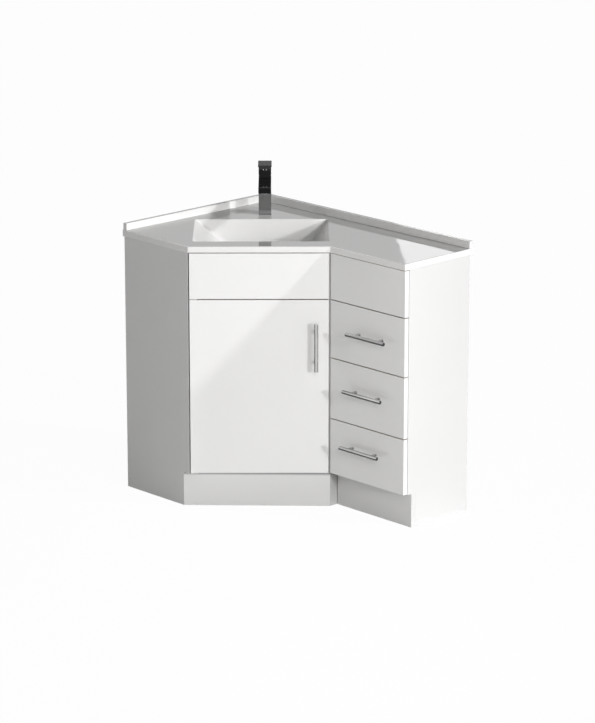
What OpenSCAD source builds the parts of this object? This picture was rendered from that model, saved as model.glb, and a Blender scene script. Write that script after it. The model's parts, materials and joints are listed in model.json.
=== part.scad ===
// Corner vanity unit with a basin moulded into its top.
// The layout starts in the corner of the room, at floor level: the long wall runs
// along +X and the short wall along -Y. A diagonal front between the two arms holds
// the basin panel and the cupboard door, and a drawer unit fills the long arm.
// Pieces on the diagonal are placed by their distance along the front, from its
// left end, and by their depth behind the front edge of the top.

/* [Plan] */
// Length of the top along the long wall
long_arm = 900; // [860:10:1060]
// Length of the top along the short wall
short_arm = 600; // [570:5:680]
// Depth of the top in front of the long wall
depth_long = 292; // [280:2:320]
// Depth of the top at its short end
depth_short = 295; // [280:5:320]
// Distance from the corner to the inner corner of the front
knee_x = 589; // [575:1:605]
// Gap between the back of the cabinet and the short wall
gap_short_wall = 5; // [3:1:15]
// Gap between the back of the cabinet and the long wall
gap_long_wall = 14; // [5:1:20]
// How far the top stands past the end panels
side_overhang = 2; // [1:0.5:6]
// How far the top stands past the fronts
front_overhang = 3; // [2:0.5:6]

/* [Heights] */
// Height of the deck above the floor
deck_h = 818; // [800:2:860]
// Thickness of the slab at its edge
slab = 20; // [16:1:30]
// Height of the upstand above the deck
upstand_h = 22; // [15:1:40]
// Thickness of the upstand
upstand_t = 15; // [10:1:20]
// Radius of the cove at the foot of the upstand
cove = 5; // [3:1:8]
// Width of the chamfer along the slab's front and right edges
slab_chamfer = 2; // [1:0.5:3]
// Height of the toe kick
kick_h = 106; // [90:2:130]
// Height from the kick to the first line between the drawers
lower_front_h = 176; // [166:2:190]
// Height from the first to the second line
middle_front_h = 190.5; // [176:0.5:200]
// Height from the second to the third line, under the false front
upper_front_h = 181; // [170:1:190]

/* [Boards] */
// Thickness of the cabinet boards and fronts
board = 16; // [15:1:18]
// Thickness of the back boards
back_board = 6; // [4:1:8]
// Gap between neighbouring fronts
reveal = 3; // [2:0.5:4]
// Gap between a front and the cabinet's edges behind it
front_gap = 2; // [2:0.5:3]
// Distance from the left end of the diagonal to the door
door_inset = 3; // [2:0.5:5]
// Distance that the door stops short of the inner corner
knee_gap = 5.6; // [5:0.2:8]
// Depth of the rails behind the fixed fronts
rail_depth = 60; // [40:5:80]
// Width of the post that the door closes on
stile_w = 30; // [24:1:32]
// Width of the plumbing cut-out in the long back
cutout_w = 140; // [100:10:200]
// Height of the plumbing cut-out
cutout_h = 90; // [70:5:120]
// Side of the cut-out in the cupboard base, where the supply pipes rise to the tap
supply_cutout = 80; // [60:5:120]

/* [Toe kick] */
// How far the kickboard stands behind the left end of the diagonal
kick_setback = 22; // [15:1:30]
// Angle by which the kickboard comes forward to the right
kick_skew = 1.5; // [0:0.5:2.5]
// Where the kickboard ends, before the inner corner
return_inset = 7; // [4:1:12]
// How far the drawer kickboard stands behind the drawer fronts
drawer_kick_setback = 35; // [25:1:45]

/* [Basin] */
// Length of the basin's mouth along the front
basin_w = 410; // [380:5:420]
// Width of the basin's mouth from front to back
basin_d = 291; // [260:5:300]
// Depth of the bowl below the deck
bowl_depth = 128; // [110:2:140]
// Width of the deck in front of the basin
front_rim = 65; // [60:1:75]
// How far the basin lies to the right of the front's middle
basin_shift = 5; // [0:1:8]
// Thickness of the bowl's wall
bowl_wall = 8; // [6:1:10]
// How far the left wall runs in before the floor
left_run = 146; // [120:2:150]
// How far the right wall runs in before the floor
right_run = 99; // [80:1:110]
// How far the front wall runs in before the floor
front_run_in = 20; // [12:1:30]
// How far the back wall runs in before the floor
back_run_in = 26; // [12:1:30]
// Width of the floor's slope round its flat middle
floor_slope = 40; // [30:1:45]
// Fall of the floor towards the waste
floor_fall = 8; // [4:1:12]
// Radius of the upright corners at the mouth
mouth_corner = 9; // [5:1:15]
// Radius of the corners at the floor
floor_corner = 34; // [25:1:38]

/* [Waste and trap] */
// Diameter of the waste's flange
flange_d = 64; // [60:1:70]
// Thickness of the waste's flange
flange_t = 2.5; // [2:0.5:4]
// Outer diameter of the waste's threaded tail
tail_d = 44; // [40:1:46]
// Bore of the waste
waste_bore = 34; // [30:1:36]
// Length of the waste's tail below the basin's floor
tail_len = 70; // [60:1:90]
// Diameter of the plug
plug_d = 56; // [50:1:58]
// Diameter of the plug's stem
plug_stem_d = 6; // [5:0.5:8]
// Lift of the plug
plug_lift = 8; // [5:1:10]
// Outer diameter of the bottle trap
bottle_d = 68; // [60:2:76]
// Height of the bottle
bottle_h = 96; // [80:2:110]
// Outer diameter of the outlet pipe
outlet_d = 40; // [32:1:42]
// Wall of the trap and its pipes
pipe_wall = 3; // [2:0.5:4]

/* [Tap] */
// Width of the square column
tap_w = 39; // [34:1:44]
// Height of the spout's top above the deck
spout_top = 115; // [105:1:125]
// Thickness of the spout
spout_t = 19; // [16:1:22]
// Reach of the spout in front of the column
spout_reach = 130; // [110:5:140]
// Distance from the basin's mouth to the column
tap_gap = 59; // [50:1:70]
// How far the tap stands to the right of the basin's middle
tap_shift = 10.5; // [0:0.5:15]
// Height of the fixed collar on the column
collar_h = 12; // [8:1:16]
// Height of the turning hub
hub_h = 28.6; // [26:0.2:34]
// Thickness of the lever
lever_t = 6.5; // [5:0.5:9]
// How far the lever stands past the front of the column
lever_reach = 28; // [20:1:40]
// How far the lever is wider than the column on each side
lever_lip = 1.5; // [0.5:0.5:3]
// Diameter of the tap's threaded shank
shank_d = 33; // [30:1:34]
// Length of the shank below the deck
shank_len = 45; // [40:1:60]
// Diameter of the cartridge's body
cartridge_d = 30; // [26:1:32]
// Diameter of the spigot that the hub turns on
spigot_d = 23.8; // [20:0.2:25]
// Diameter of the water inlets
inlet_d = 10; // [8:1:12]
// Length of the inlets below the shank
inlet_len = 50; // [30:5:80]
// Diameter of the aerator
aerator_d = 23; // [20:1:25]
// Diameter of the lever's pivot pin
lever_pin_d = 3; // [2.5:0.5:4]

/* [Handles] */
// Diameter of the handle bars
bar_d = 12; // [10:0.5:13]
// Length of the door's handle
door_bar = 150; // [130:5:190]
// Length of the drawer handles
drawer_bar = 158; // [130:2:190]
// Distance between the posts of a handle
post_pitch = 96; // [64:32:96]
// Diameter of the posts
post_d = 8; // [7:0.5:10]
// Distance from the front to the middle of the bar
bar_standoff = 26; // [24:1:30]
// Diameter of the handle screws
screw_d = 4; // [3:0.5:4.5]
// Distance from the door's right edge to its handle
door_bar_inset = 37.5; // [36:0.5:60]
// Height of the middle of the door's handle
door_bar_z = 509.5; // [400:0.5:560]
// How far the upper handle stands to the right of its front's middle
bar_shift = 15.5; // [0:0.5:20]
// How far each handle stands further left than the one above
bar_step = 12.5; // [0:0.5:15]
// Distance from the upper edge of a front to its handle
bar_drop = 84; // [70:1:100]
// Distance from the upper edge of the lower front to its handle
lower_bar_drop = 71.5; // [60:0.5:90]

/* [Drawers and door] */
// Free space for a runner on each side of a drawer
runner_space = 12.5; // [12:0.5:14]
// Thickness of the drawer sides and backs
box_board = 12; // [10:1:14]
// Height of the drawer boxes
box_h = 100; // [80:5:110]
// Free space behind the drawer boxes
box_room = 15; // [12:1:40]
// Height of a drawer box above the lower edge of its front
box_lift = 32; // [26:1:40]
// Thickness of the drawer bottoms
bottom_t = 6; // [4:1:8]
// Height of the fixed runners
runner_h = 20; // [18:1:24]
// Thickness of the runners' steel
runner_t = 2; // [1.5:0.5:2.5]
// Thickness of the hinge plates
plate_t = 2; // [1.5:0.5:3]
// Diameter of the hinge pins
hinge_pin_d = 4; // [3:0.5:5]
// Length of the hinge pins inside the door
hinge_pin_len = 8; // [6:1:12]
// Distance from the door's edge and face to the hinge pins
pivot_inset = 5; // [5:0.5:6]

/* [Hidden] */
$fn = 64;

// Finishes
white_board = [0.95, 0.95, 0.95];
white_gloss = [0.97, 0.97, 0.97];
raw_board = [0.90, 0.88, 0.84];
steel = [0.66, 0.65, 0.63];
zinc = [0.72, 0.73, 0.74];
dark_chrome = [0.34, 0.34, 0.35];
bright_chrome = [0.80, 0.81, 0.82];
white_pipe = [0.92, 0.92, 0.91];
black_rubber = [0.12, 0.12, 0.12];

// Clearances
running = 0.05;      // round running fit, on the radius
seat = 0.05;         // round seat of a fixed piece, on the radius
lift_gap = 0.6;      // between the door and its hinge plates
pad_gap = 0.2;       // between a closed door and its pads
slide_gap = 0.3;     // above and below a moving runner
hub_gap = 0.4;       // under the tap's turning hub
far = 700;           // longer than any cut needs to be

// Diagonal front
front_vec = [knee_x - depth_short, short_arm - depth_long];
front_len = norm(front_vec);
front_angle = atan2(front_vec[1], front_vec[0]);
function front_point(along, deep) = [
    depth_short + along * cos(front_angle) - deep * sin(front_angle),
    -short_arm + along * sin(front_angle) + deep * cos(front_angle)
];
face_d = front_overhang;
back_d = face_d + board;
carcass_d = back_d + front_gap;

// Straight front of the drawer unit
face_y = -depth_long + front_overhang;
back_y = face_y + board;
carcass_y = back_y + front_gap;
meeting_along = (face_y + short_arm - face_d * cos(front_angle)) / sin(front_angle);
door_right = meeting_along - knee_gap;
drawers_left = front_point(door_right, face_d)[0] + reveal;
drawers_right = long_arm - side_overhang;

// Panels
slab_z = deck_h - slab;
panel_outer_y = -short_arm + side_overhang;
panel_inner_y = panel_outer_y + board;
long_inner_x = drawers_right - board;
divider_x = drawers_left + reveal;
bay_x = divider_x + board;
back_face_y = -gap_long_wall - back_board;
back_face_x = gap_short_wall + back_board;
base_z = kick_h + plate_t;

// Lines between the fronts
lines = [
    kick_h,
    kick_h + lower_front_h,
    kick_h + lower_front_h + middle_front_h,
    kick_h + lower_front_h + middle_front_h + upper_front_h
];
front_bottom = base_z + lift_gap;
front_top = lines[3] - reveal / 2;
fixed_z = lines[3] + reveal / 2;
fixed_top = slab_z - front_gap;
rail_z = front_top + lift_gap + plate_t;
function drawer_z(i) = i == 0 ? front_bottom : lines[i] + reveal / 2;
function drawer_top(i) = lines[i + 1] - reveal / 2;
function box_z(i) = drawer_z(i) + box_lift;
function bar_z(i) = drawer_top(i) - (i == 0 ? lower_bar_drop : bar_drop);
function bar_x(i) = (drawers_left + drawers_right) / 2 + bar_shift - (2 - i) * bar_step;

// Door pivot, and the bevel that lets the door's corner turn past the end panel
pivot_along = door_inset + pivot_inset;
pivot_deep = face_d + pivot_inset;
corner_sweep = pivot_inset * sqrt(2);
bevel_gap = 1.2;
bevel_angle = 12;
plate_w = 22;
plate_len = 46;
plate_edge = pivot_inset - 1;
plate_screw_rows = [24, 38];
plate_hole_depth = 10;
bush_d = 7.2;
bush_len = 12;
bush_rim_d = 9;
bush_rim_t = lift_gap - pad_gap;
bush_end_gap = 0.5;
door_bar_along = door_right - door_bar_inset;

// Kickboards
return_x = knee_x - return_inset;
drawer_kick_y = face_y + drawer_kick_setback;

// Basin and waste
basin_x = front_len / 2 + basin_shift - basin_w / 2;
basin_y = front_rim;
floor_z = deck_h - bowl_depth;
waste_x = basin_x + left_run + (basin_w - left_run - right_run) / 2;
waste_y = basin_y + front_run_in + (basin_d - front_run_in - back_run_in) / 2;
tail_z = floor_z - tail_len;
seal_rim = 8;
seal_t = 3;
backnut_rim = 9;
backnut_h = 10;
nut_wall = 6;
nut_h = 24;
bottle_top = tail_z - nut_h;
bottle_z = bottle_top - bottle_h;
outlet_down = 14;
outlet_z = bottle_top - outlet_down - outlet_d / 2;
stub_len = 26;
cup_h = 30;
pipe_short = 4;      // from the end of the outlet pipe to the wall
plug_t = 5;
plug_dome = 2;
plug_step = 3;
dome_r = 1.5 * plug_d;
guide_w = 12;
guide_h = 6;
guide_down = 46;
guide_z = floor_z - guide_down;
plug_stem_len = guide_down + guide_h + plug_lift;

// Tap
tap_x = front_len / 2 + basin_shift + tap_shift;
tap_y = basin_y + basin_d + tap_gap + tap_w / 2;
gasket_t = 1.5;
collar_z = deck_h + spout_top;
hub_z = collar_z + collar_h + hub_gap;
hub_top = hub_z + hub_h;
lever_z = hub_top + lift_gap;
cartridge_len = 39;
spigot_in_hub = 13;
spigot_len = collar_h + spigot_in_hub;
pin_inset = 5.5;
pin_back = tap_w / 2 - pin_inset;
pin_down = 5;
pin_cover = 3;
pin_len = tap_w - 2 * pin_cover;
tongue_w = 8;
tongue_front = 6;
tongue_back = 4;
tongue_drop = 3;
slot_gap = 0.2;
slot_room = 1.5;
hub_chamfer_y = 4;
hub_chamfer_z = 2;
aerator_h = 12;
aerator_rim = 2.5;
aerator_recess = 2;
aerator_out = 4;
aerator_set = 22;
tail_pitch = 18;
tail_spigot_d = inlet_d - 1;
waterway_d = 10;

// Runners and drawer boxes
box_len = back_face_y - back_y - box_room;
box_x = bay_x + runner_space;
box_w = long_inner_x - bay_x - 2 * runner_space;
groove = 5;
groove_z = 8;
runner_y = carcass_y + 1;
runner_short = 4;
runner_len = box_len - runner_short;
lip_room = 2.5;
runner_lip = runner_space - lip_room;
runner_up = 20;
runner_play = 1;

// Screws
head_d = 8;
head_t = 2.5;
screw_bite = 8;
pad_d = 10;
pad_inset = 30;

// Places a layout drawn from the room's corner about the unit's own middle
module from_corner() {
    translate([-long_arm / 2, short_arm / 2, 0]) children();
}

// Turns x to run along the diagonal front and y to run back from it
module on_front() {
    translate([depth_short, -short_arm, 0]) rotate(front_angle) children();
}

// The kickboard's own line, a little askew to the diagonal
module on_kick() {
    on_front() translate([0, kick_setback, 0]) rotate(-kick_skew) children();
}

// Everything in front of the back of the diagonal kickboard
module before_kick() {
    on_kick() translate([-far, -far, -1]) cube([3 * far, far + board, kick_h + 1]);
}

// Plan of the cupboard inside its boards, as deep as the front's line allows
module cupboard_plan(deep) {
    intersection() {
        translate([back_face_x, panel_inner_y])
            square([divider_x - back_face_x, back_face_y - panel_inner_y]);
        on_front() translate([-far, deep]) square([3 * far, 2 * far]);
    }
}

// Chamfer cutter along the slab's edge from p to q, longer by the given ends:
// up is 1 on the slab's upper edge and -1 on its lower edge
module edge_cut(p, q, z, up, start, end) {
    c = slab_chamfer;
    translate([p[0], p[1], z])
        rotate(atan2(q[1] - p[1], q[0] - p[0]))
            translate([-start, 0, 0]) rotate([90, 0, 90])
                linear_extrude(norm(q - p) + start + end)
                    polygon([[c + 1, up], [-1, -up * (c + 1)], [-1, up]]);
}

// Four upright corner posts of a bowl outline, run in from the mouth on each side
module bowl_ring(z, left, right, front, back, r) {
    for (x = [basin_x + left + r, basin_x + basin_w - right - r])
        for (y = [basin_y + front + r, basin_y + basin_d - back - r])
            translate([x, y, z]) cylinder(r = r, h = 0.01, $fn = 32);
}

// Bowl shape, grown outwards by a wall: the inner bowl has none
module bowl(grow, mouth_z) {
    hull() {
        bowl_ring(mouth_z, -grow, -grow, -grow, -grow, mouth_corner + grow);
        bowl_ring(floor_z + floor_fall - grow, left_run - grow, right_run - grow,
            front_run_in - grow, back_run_in - grow, floor_corner + grow);
        bowl_ring(floor_z - grow, left_run + floor_slope - grow, right_run + floor_slope - grow,
            front_run_in + floor_slope - grow, back_run_in + floor_slope - grow, floor_corner + grow);
    }
}

module vanity_top() {
    edge = [[depth_short, -short_arm], [knee_x, -depth_long], [long_arm, -depth_long], [long_arm, 0]];
    past = [[1, 0], [0, 1], [1, 1]] * slab_chamfer * 2;
    long_end = long_arm - slab_chamfer - 1;
    short_end = -short_arm + slab_chamfer + 1;
    color(white_gloss) from_corner() difference() {
        union() {
            difference() {
                translate([0, 0, slab_z]) linear_extrude(slab) polygon(concat([[0, 0], [0, -short_arm]], edge));
                for (i = [0:2]) {
                    edge_cut(edge[i], edge[i + 1], deck_h, 1, past[i][0], past[i][1]);
                    edge_cut(edge[i], edge[i + 1], slab_z, -1, past[i][0], past[i][1]);
                }
            }
            translate([0, 0, deck_h - 1]) linear_extrude(upstand_h + 1)
                polygon([[0, 0], [0, short_end], [upstand_t, short_end], [upstand_t, -upstand_t],
                    [long_end, -upstand_t], [long_end, 0]]);
            translate([upstand_t, -upstand_t, deck_h]) upstand_cove(long_end - upstand_t);
            translate([upstand_t, -upstand_t, deck_h]) mirror([1, 1, 0])
                upstand_cove(-upstand_t - short_end);
            on_front() bowl(bowl_wall, slab_z + 1);
        }
        on_front() {
            bowl(0, deck_h + 0.5);
            translate([waste_x, waste_y, floor_z - 2 * bowl_wall])
                cylinder(d = tail_d + 1, h = 3 * bowl_wall);
            translate([tap_x, tap_y, slab_z - 1]) cylinder(d = shank_d + 2, h = slab + 2);
        }
    }
}

// Hollow fillet at the foot of the upstand, running along +X
module upstand_cove(length) {
    rotate([90, 0, 90]) linear_extrude(length) difference() {
        translate([-cove, 0]) square(cove);
        translate([-cove, cove]) circle(r = cove);
    }
}

module short_end_panel() {
    color(white_board) from_corner() difference() {
        translate([gap_short_wall, panel_outer_y, 0]) cube([depth_short, board, slab_z]);
        on_front() translate([pivot_along, pivot_deep, -1]) rotate(-bevel_angle)
            translate([-corner_sweep - bevel_gap, -far, 0]) cube([far, 2 * far, slab_z + 2]);
        before_kick();
    }
}

module long_end_panel() {
    color(white_board) from_corner() difference() {
        translate([long_inner_x, carcass_y, 0]) cube([board, -carcass_y - gap_long_wall, slab_z]);
        translate([long_inner_x - 1, carcass_y - 1, -1])
            cube([board + 2, drawer_kick_y + board - carcass_y + 1, kick_h + 1]);
    }
}

module divider_panel() {
    color(white_board) from_corner() difference() {
        translate([divider_x, carcass_y, 0]) cube([board, back_face_y - carcass_y, slab_z]);
        translate([divider_x - 1, carcass_y - 1, -1])
            cube([board + 2, drawer_kick_y + board - carcass_y + 1, kick_h + 1]);
    }
}

// Footprint of the post beside the divider, from a depth behind the front's line
module stile_plan(from_d) {
    intersection() {
        on_front() translate([door_right - stile_w, from_d]) square([far, carcass_d + board - from_d]);
        translate([0, -far]) square([divider_x, 2 * far]);
    }
}

// The post that the door closes on, which also backs the open end of the basin panel
module closing_stile() {
    color(white_board) from_corner() translate([0, 0, base_z + board])
        linear_extrude(slab_z - base_z - board) stile_plan(carcass_d);
}

module cupboard_base() {
    supply = front_point(tap_x, tap_y);
    color(white_board) from_corner() difference() {
        translate([0, 0, base_z]) linear_extrude(board) cupboard_plan(carcass_d);
        on_front() plate_holes(base_z - 1);
        translate([supply[0] - supply_cutout / 2, supply[1] - supply_cutout / 2, base_z - 1])
            cube([supply_cutout, supply_cutout, board + 2]);
    }
}

module drawer_unit_base() {
    color(white_board) from_corner() translate([bay_x, carcass_y, base_z])
        cube([long_inner_x - bay_x, back_face_y - carcass_y, board]);
}

module short_wall_back() {
    color(raw_board) from_corner() translate([gap_short_wall, panel_inner_y, base_z])
        cube([back_board, -gap_long_wall - panel_inner_y, slab_z - base_z]);
}

module long_wall_back() {
    outlet = front_point(waste_x, waste_y);
    color(raw_board) from_corner() difference() {
        translate([back_face_x, back_face_y, base_z])
            cube([long_inner_x - back_face_x, back_board, slab_z - base_z]);
        translate([outlet[0] - cutout_w / 2, back_face_y - 1, outlet_z - cutout_h / 2])
            cube([cutout_w, back_board + 2, cutout_h]);
    }
}

// Flat rail under the basin panel, which also takes the upper hinge plate
module front_rail() {
    color(white_board) from_corner() difference() {
        translate([0, 0, rail_z]) linear_extrude(board) intersection() {
            cupboard_plan(back_d);
            on_front() translate([-far, back_d]) square([3 * far, rail_depth]);
        }
        translate([0, 0, rail_z - 1]) linear_extrude(board + 2) stile_plan(back_d - 1);
        on_front() plate_holes(rail_z - 1);
    }
}

module drawer_unit_rail() {
    color(white_board) from_corner() translate([bay_x, back_y, fixed_z])
        cube([long_inner_x - bay_x, rail_depth, board]);
}

module basin_fascia() {
    color(white_gloss) from_corner() on_front() translate([door_inset, face_d, fixed_z])
        cube([door_right - door_inset, board, fixed_top - fixed_z]);
}

module false_drawer_front() {
    color(white_gloss) from_corner() translate([drawers_left, face_y, fixed_z])
        cube([drawers_right - drawers_left, board, fixed_top - fixed_z]);
}

module diagonal_kickboard() {
    color(white_board) from_corner() intersection() {
        on_kick() translate([-far, 0, 0]) cube([3 * far, board, kick_h]);
        translate([0, panel_outer_y, 0]) cube([return_x, short_arm, kick_h]);
    }
}

// Short board that closes the step between the two kickboards
module kickboard_return() {
    color(white_board) from_corner() difference() {
        translate([return_x - board, -depth_long, 0])
            cube([board, drawer_kick_y + board + depth_long, kick_h]);
        before_kick();
    }
}

module drawer_kickboard() {
    color(white_board) from_corner() translate([return_x, drawer_kick_y, 0])
        cube([drawers_right - return_x, board, kick_h]);
}

// One fixed runner, with its back against x = 0 and its lips towards +X
module fixed_runner() {
    cube([runner_t, runner_len, runner_h]);
    cube([runner_lip, runner_len, runner_t]);
    translate([0, 0, runner_h - runner_t]) cube([runner_lip, runner_len, runner_t]);
}

module fixed_runners() {
    color(zinc) from_corner() for (i = [0:2]) {
        z = box_z(i) + runner_up;
        translate([bay_x, runner_y, z]) fixed_runner();
        translate([long_inner_x, runner_y, z]) mirror([1, 0, 0]) fixed_runner();
    }
}

// Screw holes of a hinge plate in the board above it
module plate_holes(z) {
    for (row = plate_screw_rows)
        translate([pivot_along - plate_edge + plate_w / 2, pivot_deep - plate_edge + row, z])
            cylinder(d = screw_d, h = plate_hole_depth + 1);
}

// Hinge plate with its pin, lying on z = 0 with the pin upwards
module hinge_plate() {
    difference() {
        translate([pivot_along - plate_edge, pivot_deep - plate_edge, 0])
            cube([plate_w, plate_len, plate_t]);
        plate_holes(-1);
    }
}

module hinge_plates() {
    color(zinc) from_corner() on_front() {
        translate([0, 0, base_z - plate_t]) hinge_plate();
        translate([pivot_along, pivot_deep, base_z - plate_t])
            cylinder(d = hinge_pin_d, h = plate_t + hinge_pin_len);
        translate([0, 0, rail_z - plate_t]) hinge_plate();
        translate([pivot_along, pivot_deep, rail_z - plate_t - hinge_pin_len])
            cylinder(d = hinge_pin_d, h = plate_t + hinge_pin_len);
    }
}

module hinge_screws() {
    color(zinc) from_corner() on_front()
        for (z = [base_z, rail_z])
            for (row = plate_screw_rows)
                translate([pivot_along - plate_edge + plate_w / 2, pivot_deep - plate_edge + row, z - plate_t])
                    cylinder(d = screw_d, h = plate_t + screw_bite);
}

module door_bumpers() {
    color(black_rubber) from_corner() on_front()
        for (z = [base_z + board + pad_inset, rail_z - pad_inset])
            translate([door_right - stile_w / 2, carcass_d, z]) rotate([90, 0, 0])
                cylinder(d = pad_d, h = front_gap - pad_gap);
}

// Ring with its foot on z, outer diameter d and inner diameter bore
module ring(z, d, bore, h) {
    translate([0, 0, z]) difference() {
        cylinder(d = d, h = h);
        translate([0, 0, -1]) cylinder(d = bore, h = h + 2);
    }
}

module at_waste() {
    from_corner() on_front() translate([waste_x, waste_y, 0]) children();
}

module waste_body() {
    color(bright_chrome) at_waste() {
        ring(floor_z, flange_d, waste_bore, flange_t);
        ring(tail_z, tail_d, waste_bore, tail_len);
        difference() {
            translate([-waste_bore / 2 - 1, -guide_w / 2, guide_z])
                cube([waste_bore + 2, guide_w, guide_h]);
            translate([0, 0, guide_z - 1])
                cylinder(d = plug_stem_d + 2 * running, h = guide_h + 2);
        }
    }
}

module waste_seal() {
    color(black_rubber) at_waste()
        ring(floor_z - bowl_wall - seal_t, tail_d + 2 * seal_rim, tail_d + 2 * seat, seal_t);
}

module waste_backnut() {
    color(white_pipe) at_waste()
        ring(floor_z - bowl_wall - seal_t - backnut_h, tail_d + 2 * backnut_rim,
            tail_d + 2 * seat, backnut_h);
}

module waste_plug() {
    color(bright_chrome) at_waste() {
        translate([0, 0, floor_z + flange_t + pad_gap]) {
            cylinder(d = plug_d, h = plug_t - plug_dome);
            translate([0, 0, plug_t - plug_dome]) intersection() {
                cylinder(d = plug_d - 2 * plug_step, h = plug_dome);
                translate([0, 0, plug_dome - dome_r]) sphere(r = dome_r, $fn = 96);
            }
        }
        translate([0, 0, floor_z + flange_t - plug_stem_len])
            cylinder(d = plug_stem_d, h = plug_stem_len + 1);
    }
}

module trap_nuts() {
    color(white_pipe) at_waste() {
        ring(tail_z - nut_h / 2, tail_d + 2 * nut_wall, tail_d + 2 * seat, nut_h);
        translate([0, 0, outlet_z]) rotate(-front_angle) rotate([-90, 0, 0])
            ring(bottle_d / 2 + stub_len - nut_h / 2, outlet_d + 2 * nut_wall,
                outlet_d + 2 * seat, nut_h);
    }
}

module trap_body() {
    wide = bottle_d - 2 * pipe_wall;
    color(white_pipe) at_waste() difference() {
        union() {
            translate([0, 0, bottle_z]) cylinder(d = bottle_d, h = bottle_h);
            translate([0, 0, bottle_top - 1]) cylinder(d = tail_d, h = nut_h + 1);
            translate([0, 0, outlet_z]) rotate(-front_angle) rotate([-90, 0, 0])
                cylinder(d = outlet_d, h = bottle_d / 2 + stub_len);
        }
        translate([0, 0, bottle_z - 1]) cylinder(d = wide, h = bottle_h - pipe_wall + 1);
        translate([0, 0, bottle_z]) cylinder(d = waste_bore, h = bottle_h + nut_h + 1);
        translate([0, 0, outlet_z]) rotate(-front_angle) rotate([-90, 0, 0])
            cylinder(d = outlet_d - 2 * pipe_wall, h = bottle_d / 2 + stub_len + 1);
    }
}

module trap_cup() {
    color(white_pipe) at_waste() difference() {
        translate([0, 0, bottle_z - pipe_wall]) cylinder(d = bottle_d + 2 * pipe_wall, h = cup_h);
        translate([0, 0, bottle_z]) cylinder(d = bottle_d + 2 * seat, h = cup_h);
    }
}

module trap_outlet_pipe() {
    outlet = front_point(waste_x, waste_y);
    start = bottle_d / 2 + stub_len;
    socket = nut_h / 2;
    bore = outlet_d - 2 * pipe_wall;
    color(white_pipe) from_corner() translate([outlet[0], outlet[1] + start, outlet_z])
        rotate([-90, 0, 0]) {
            ring(0, outlet_d - 1, bore, socket);
            ring(socket, outlet_d, bore, -outlet[1] - start - socket - pipe_short);
        }
}

module at_tap() {
    from_corner() on_front() translate([tap_x, tap_y, 0]) children();
}

// Upright square block about the tap's axis
module tap_block(w, z, h) {
    translate([-w / 2, -w / 2, z]) cube([w, w, h]);
}

module tap_body() {
    color(dark_chrome) at_tap() difference() {
        union() {
            tap_block(tap_w, deck_h + gasket_t, spout_top - gasket_t);
            translate([-tap_w / 2, -tap_w / 2 - spout_reach, deck_h + spout_top - spout_t])
                cube([tap_w, spout_reach + 1, spout_t]);
            translate([0, 0, deck_h - shank_len]) cylinder(d = shank_d, h = shank_len + 3);
        }
        translate([0, 0, collar_z - cartridge_len])
            cylinder(d = cartridge_d + 2 * seat, h = cartridge_len + 1);
        for (x = [-tail_pitch / 2, tail_pitch / 2])
            translate([x, 0, deck_h - shank_len - 1])
                cylinder(d = tail_spigot_d + 2 * seat, h = screw_bite + 1);
        translate([0, -tap_w / 2 - spout_reach + aerator_set, deck_h + spout_top - spout_t - 1])
            cylinder(d = aerator_d + 2 * seat, h = aerator_h - aerator_out + 1);
        translate([0, -tap_w / 2 - spout_reach + aerator_set, deck_h + spout_top - spout_t / 2])
            rotate([-90, 0, 0]) cylinder(d = waterway_d, h = spout_reach);
    }
}

module tap_gasket() {
    color(black_rubber) at_tap() difference() {
        tap_block(tap_w - 1, deck_h, gasket_t);
        translate([0, 0, deck_h - 1]) cylinder(d = shank_d + 2 * seat, h = gasket_t + 2);
    }
}

module tap_backnut() {
    color(zinc) at_tap()
        ring(slab_z - backnut_h, shank_d + 2 * backnut_rim, shank_d + 2 * seat, backnut_h);
}

module tap_inlet_tails() {
    color(bright_chrome) at_tap()
        for (x = [-tail_pitch / 2, tail_pitch / 2])
            translate([x, 0, deck_h - shank_len - inlet_len]) {
                cylinder(d = inlet_d, h = inlet_len);
                cylinder(d = tail_spigot_d, h = inlet_len + screw_bite);
            }
}

module tap_aerator() {
    color(bright_chrome) at_tap()
        translate([0, -tap_w / 2 - spout_reach + aerator_set, deck_h + spout_top - spout_t - aerator_out])
            difference() {
                cylinder(d = aerator_d, h = aerator_h);
                translate([0, 0, -1]) cylinder(d = aerator_d - 2 * aerator_rim, h = aerator_recess + 1);
            }
}

module tap_cartridge() {
    color(steel) at_tap() {
        translate([0, 0, collar_z - cartridge_len]) cylinder(d = cartridge_d, h = cartridge_len);
        translate([0, 0, collar_z - 1]) cylinder(d = spigot_d, h = spigot_len + 1);
    }
}

module tap_collar() {
    color(dark_chrome) at_tap() difference() {
        tap_block(tap_w - 1, collar_z, collar_h);
        translate([0, 0, collar_z - 1]) cylinder(d = spigot_d + 2 * seat, h = collar_h + 2);
    }
}

module tap_hub() {
    pin_z = hub_top - pin_down;
    color(dark_chrome) at_tap() difference() {
        tap_block(tap_w, hub_z, hub_h);
        translate([0, 0, hub_z - 1])
            cylinder(d = spigot_d + 2 * running, h = spigot_in_hub + 2);
        translate([-tongue_w / 2 - slot_gap, pin_back - tongue_front - slot_room,
            pin_z - tongue_drop - slot_room])
            cube([tongue_w + 2 * slot_gap, tap_w, hub_h]);
        translate([-pin_len / 2, pin_back, pin_z]) rotate([0, 90, 0])
            cylinder(d = lever_pin_d, h = pin_len, $fn = 32);
        translate([-tap_w, tap_w / 2 - hub_chamfer_y, hub_top])
            rotate([-atan2(hub_chamfer_z, hub_chamfer_y), 0, 0]) cube([2 * tap_w, tap_w, tap_w]);
    }
}

module tap_lever_pin() {
    color(steel) at_tap() translate([-pin_len / 2, pin_back, hub_top - pin_down])
        rotate([0, 90, 0]) cylinder(d = lever_pin_d, h = pin_len, $fn = 32);
}

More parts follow.
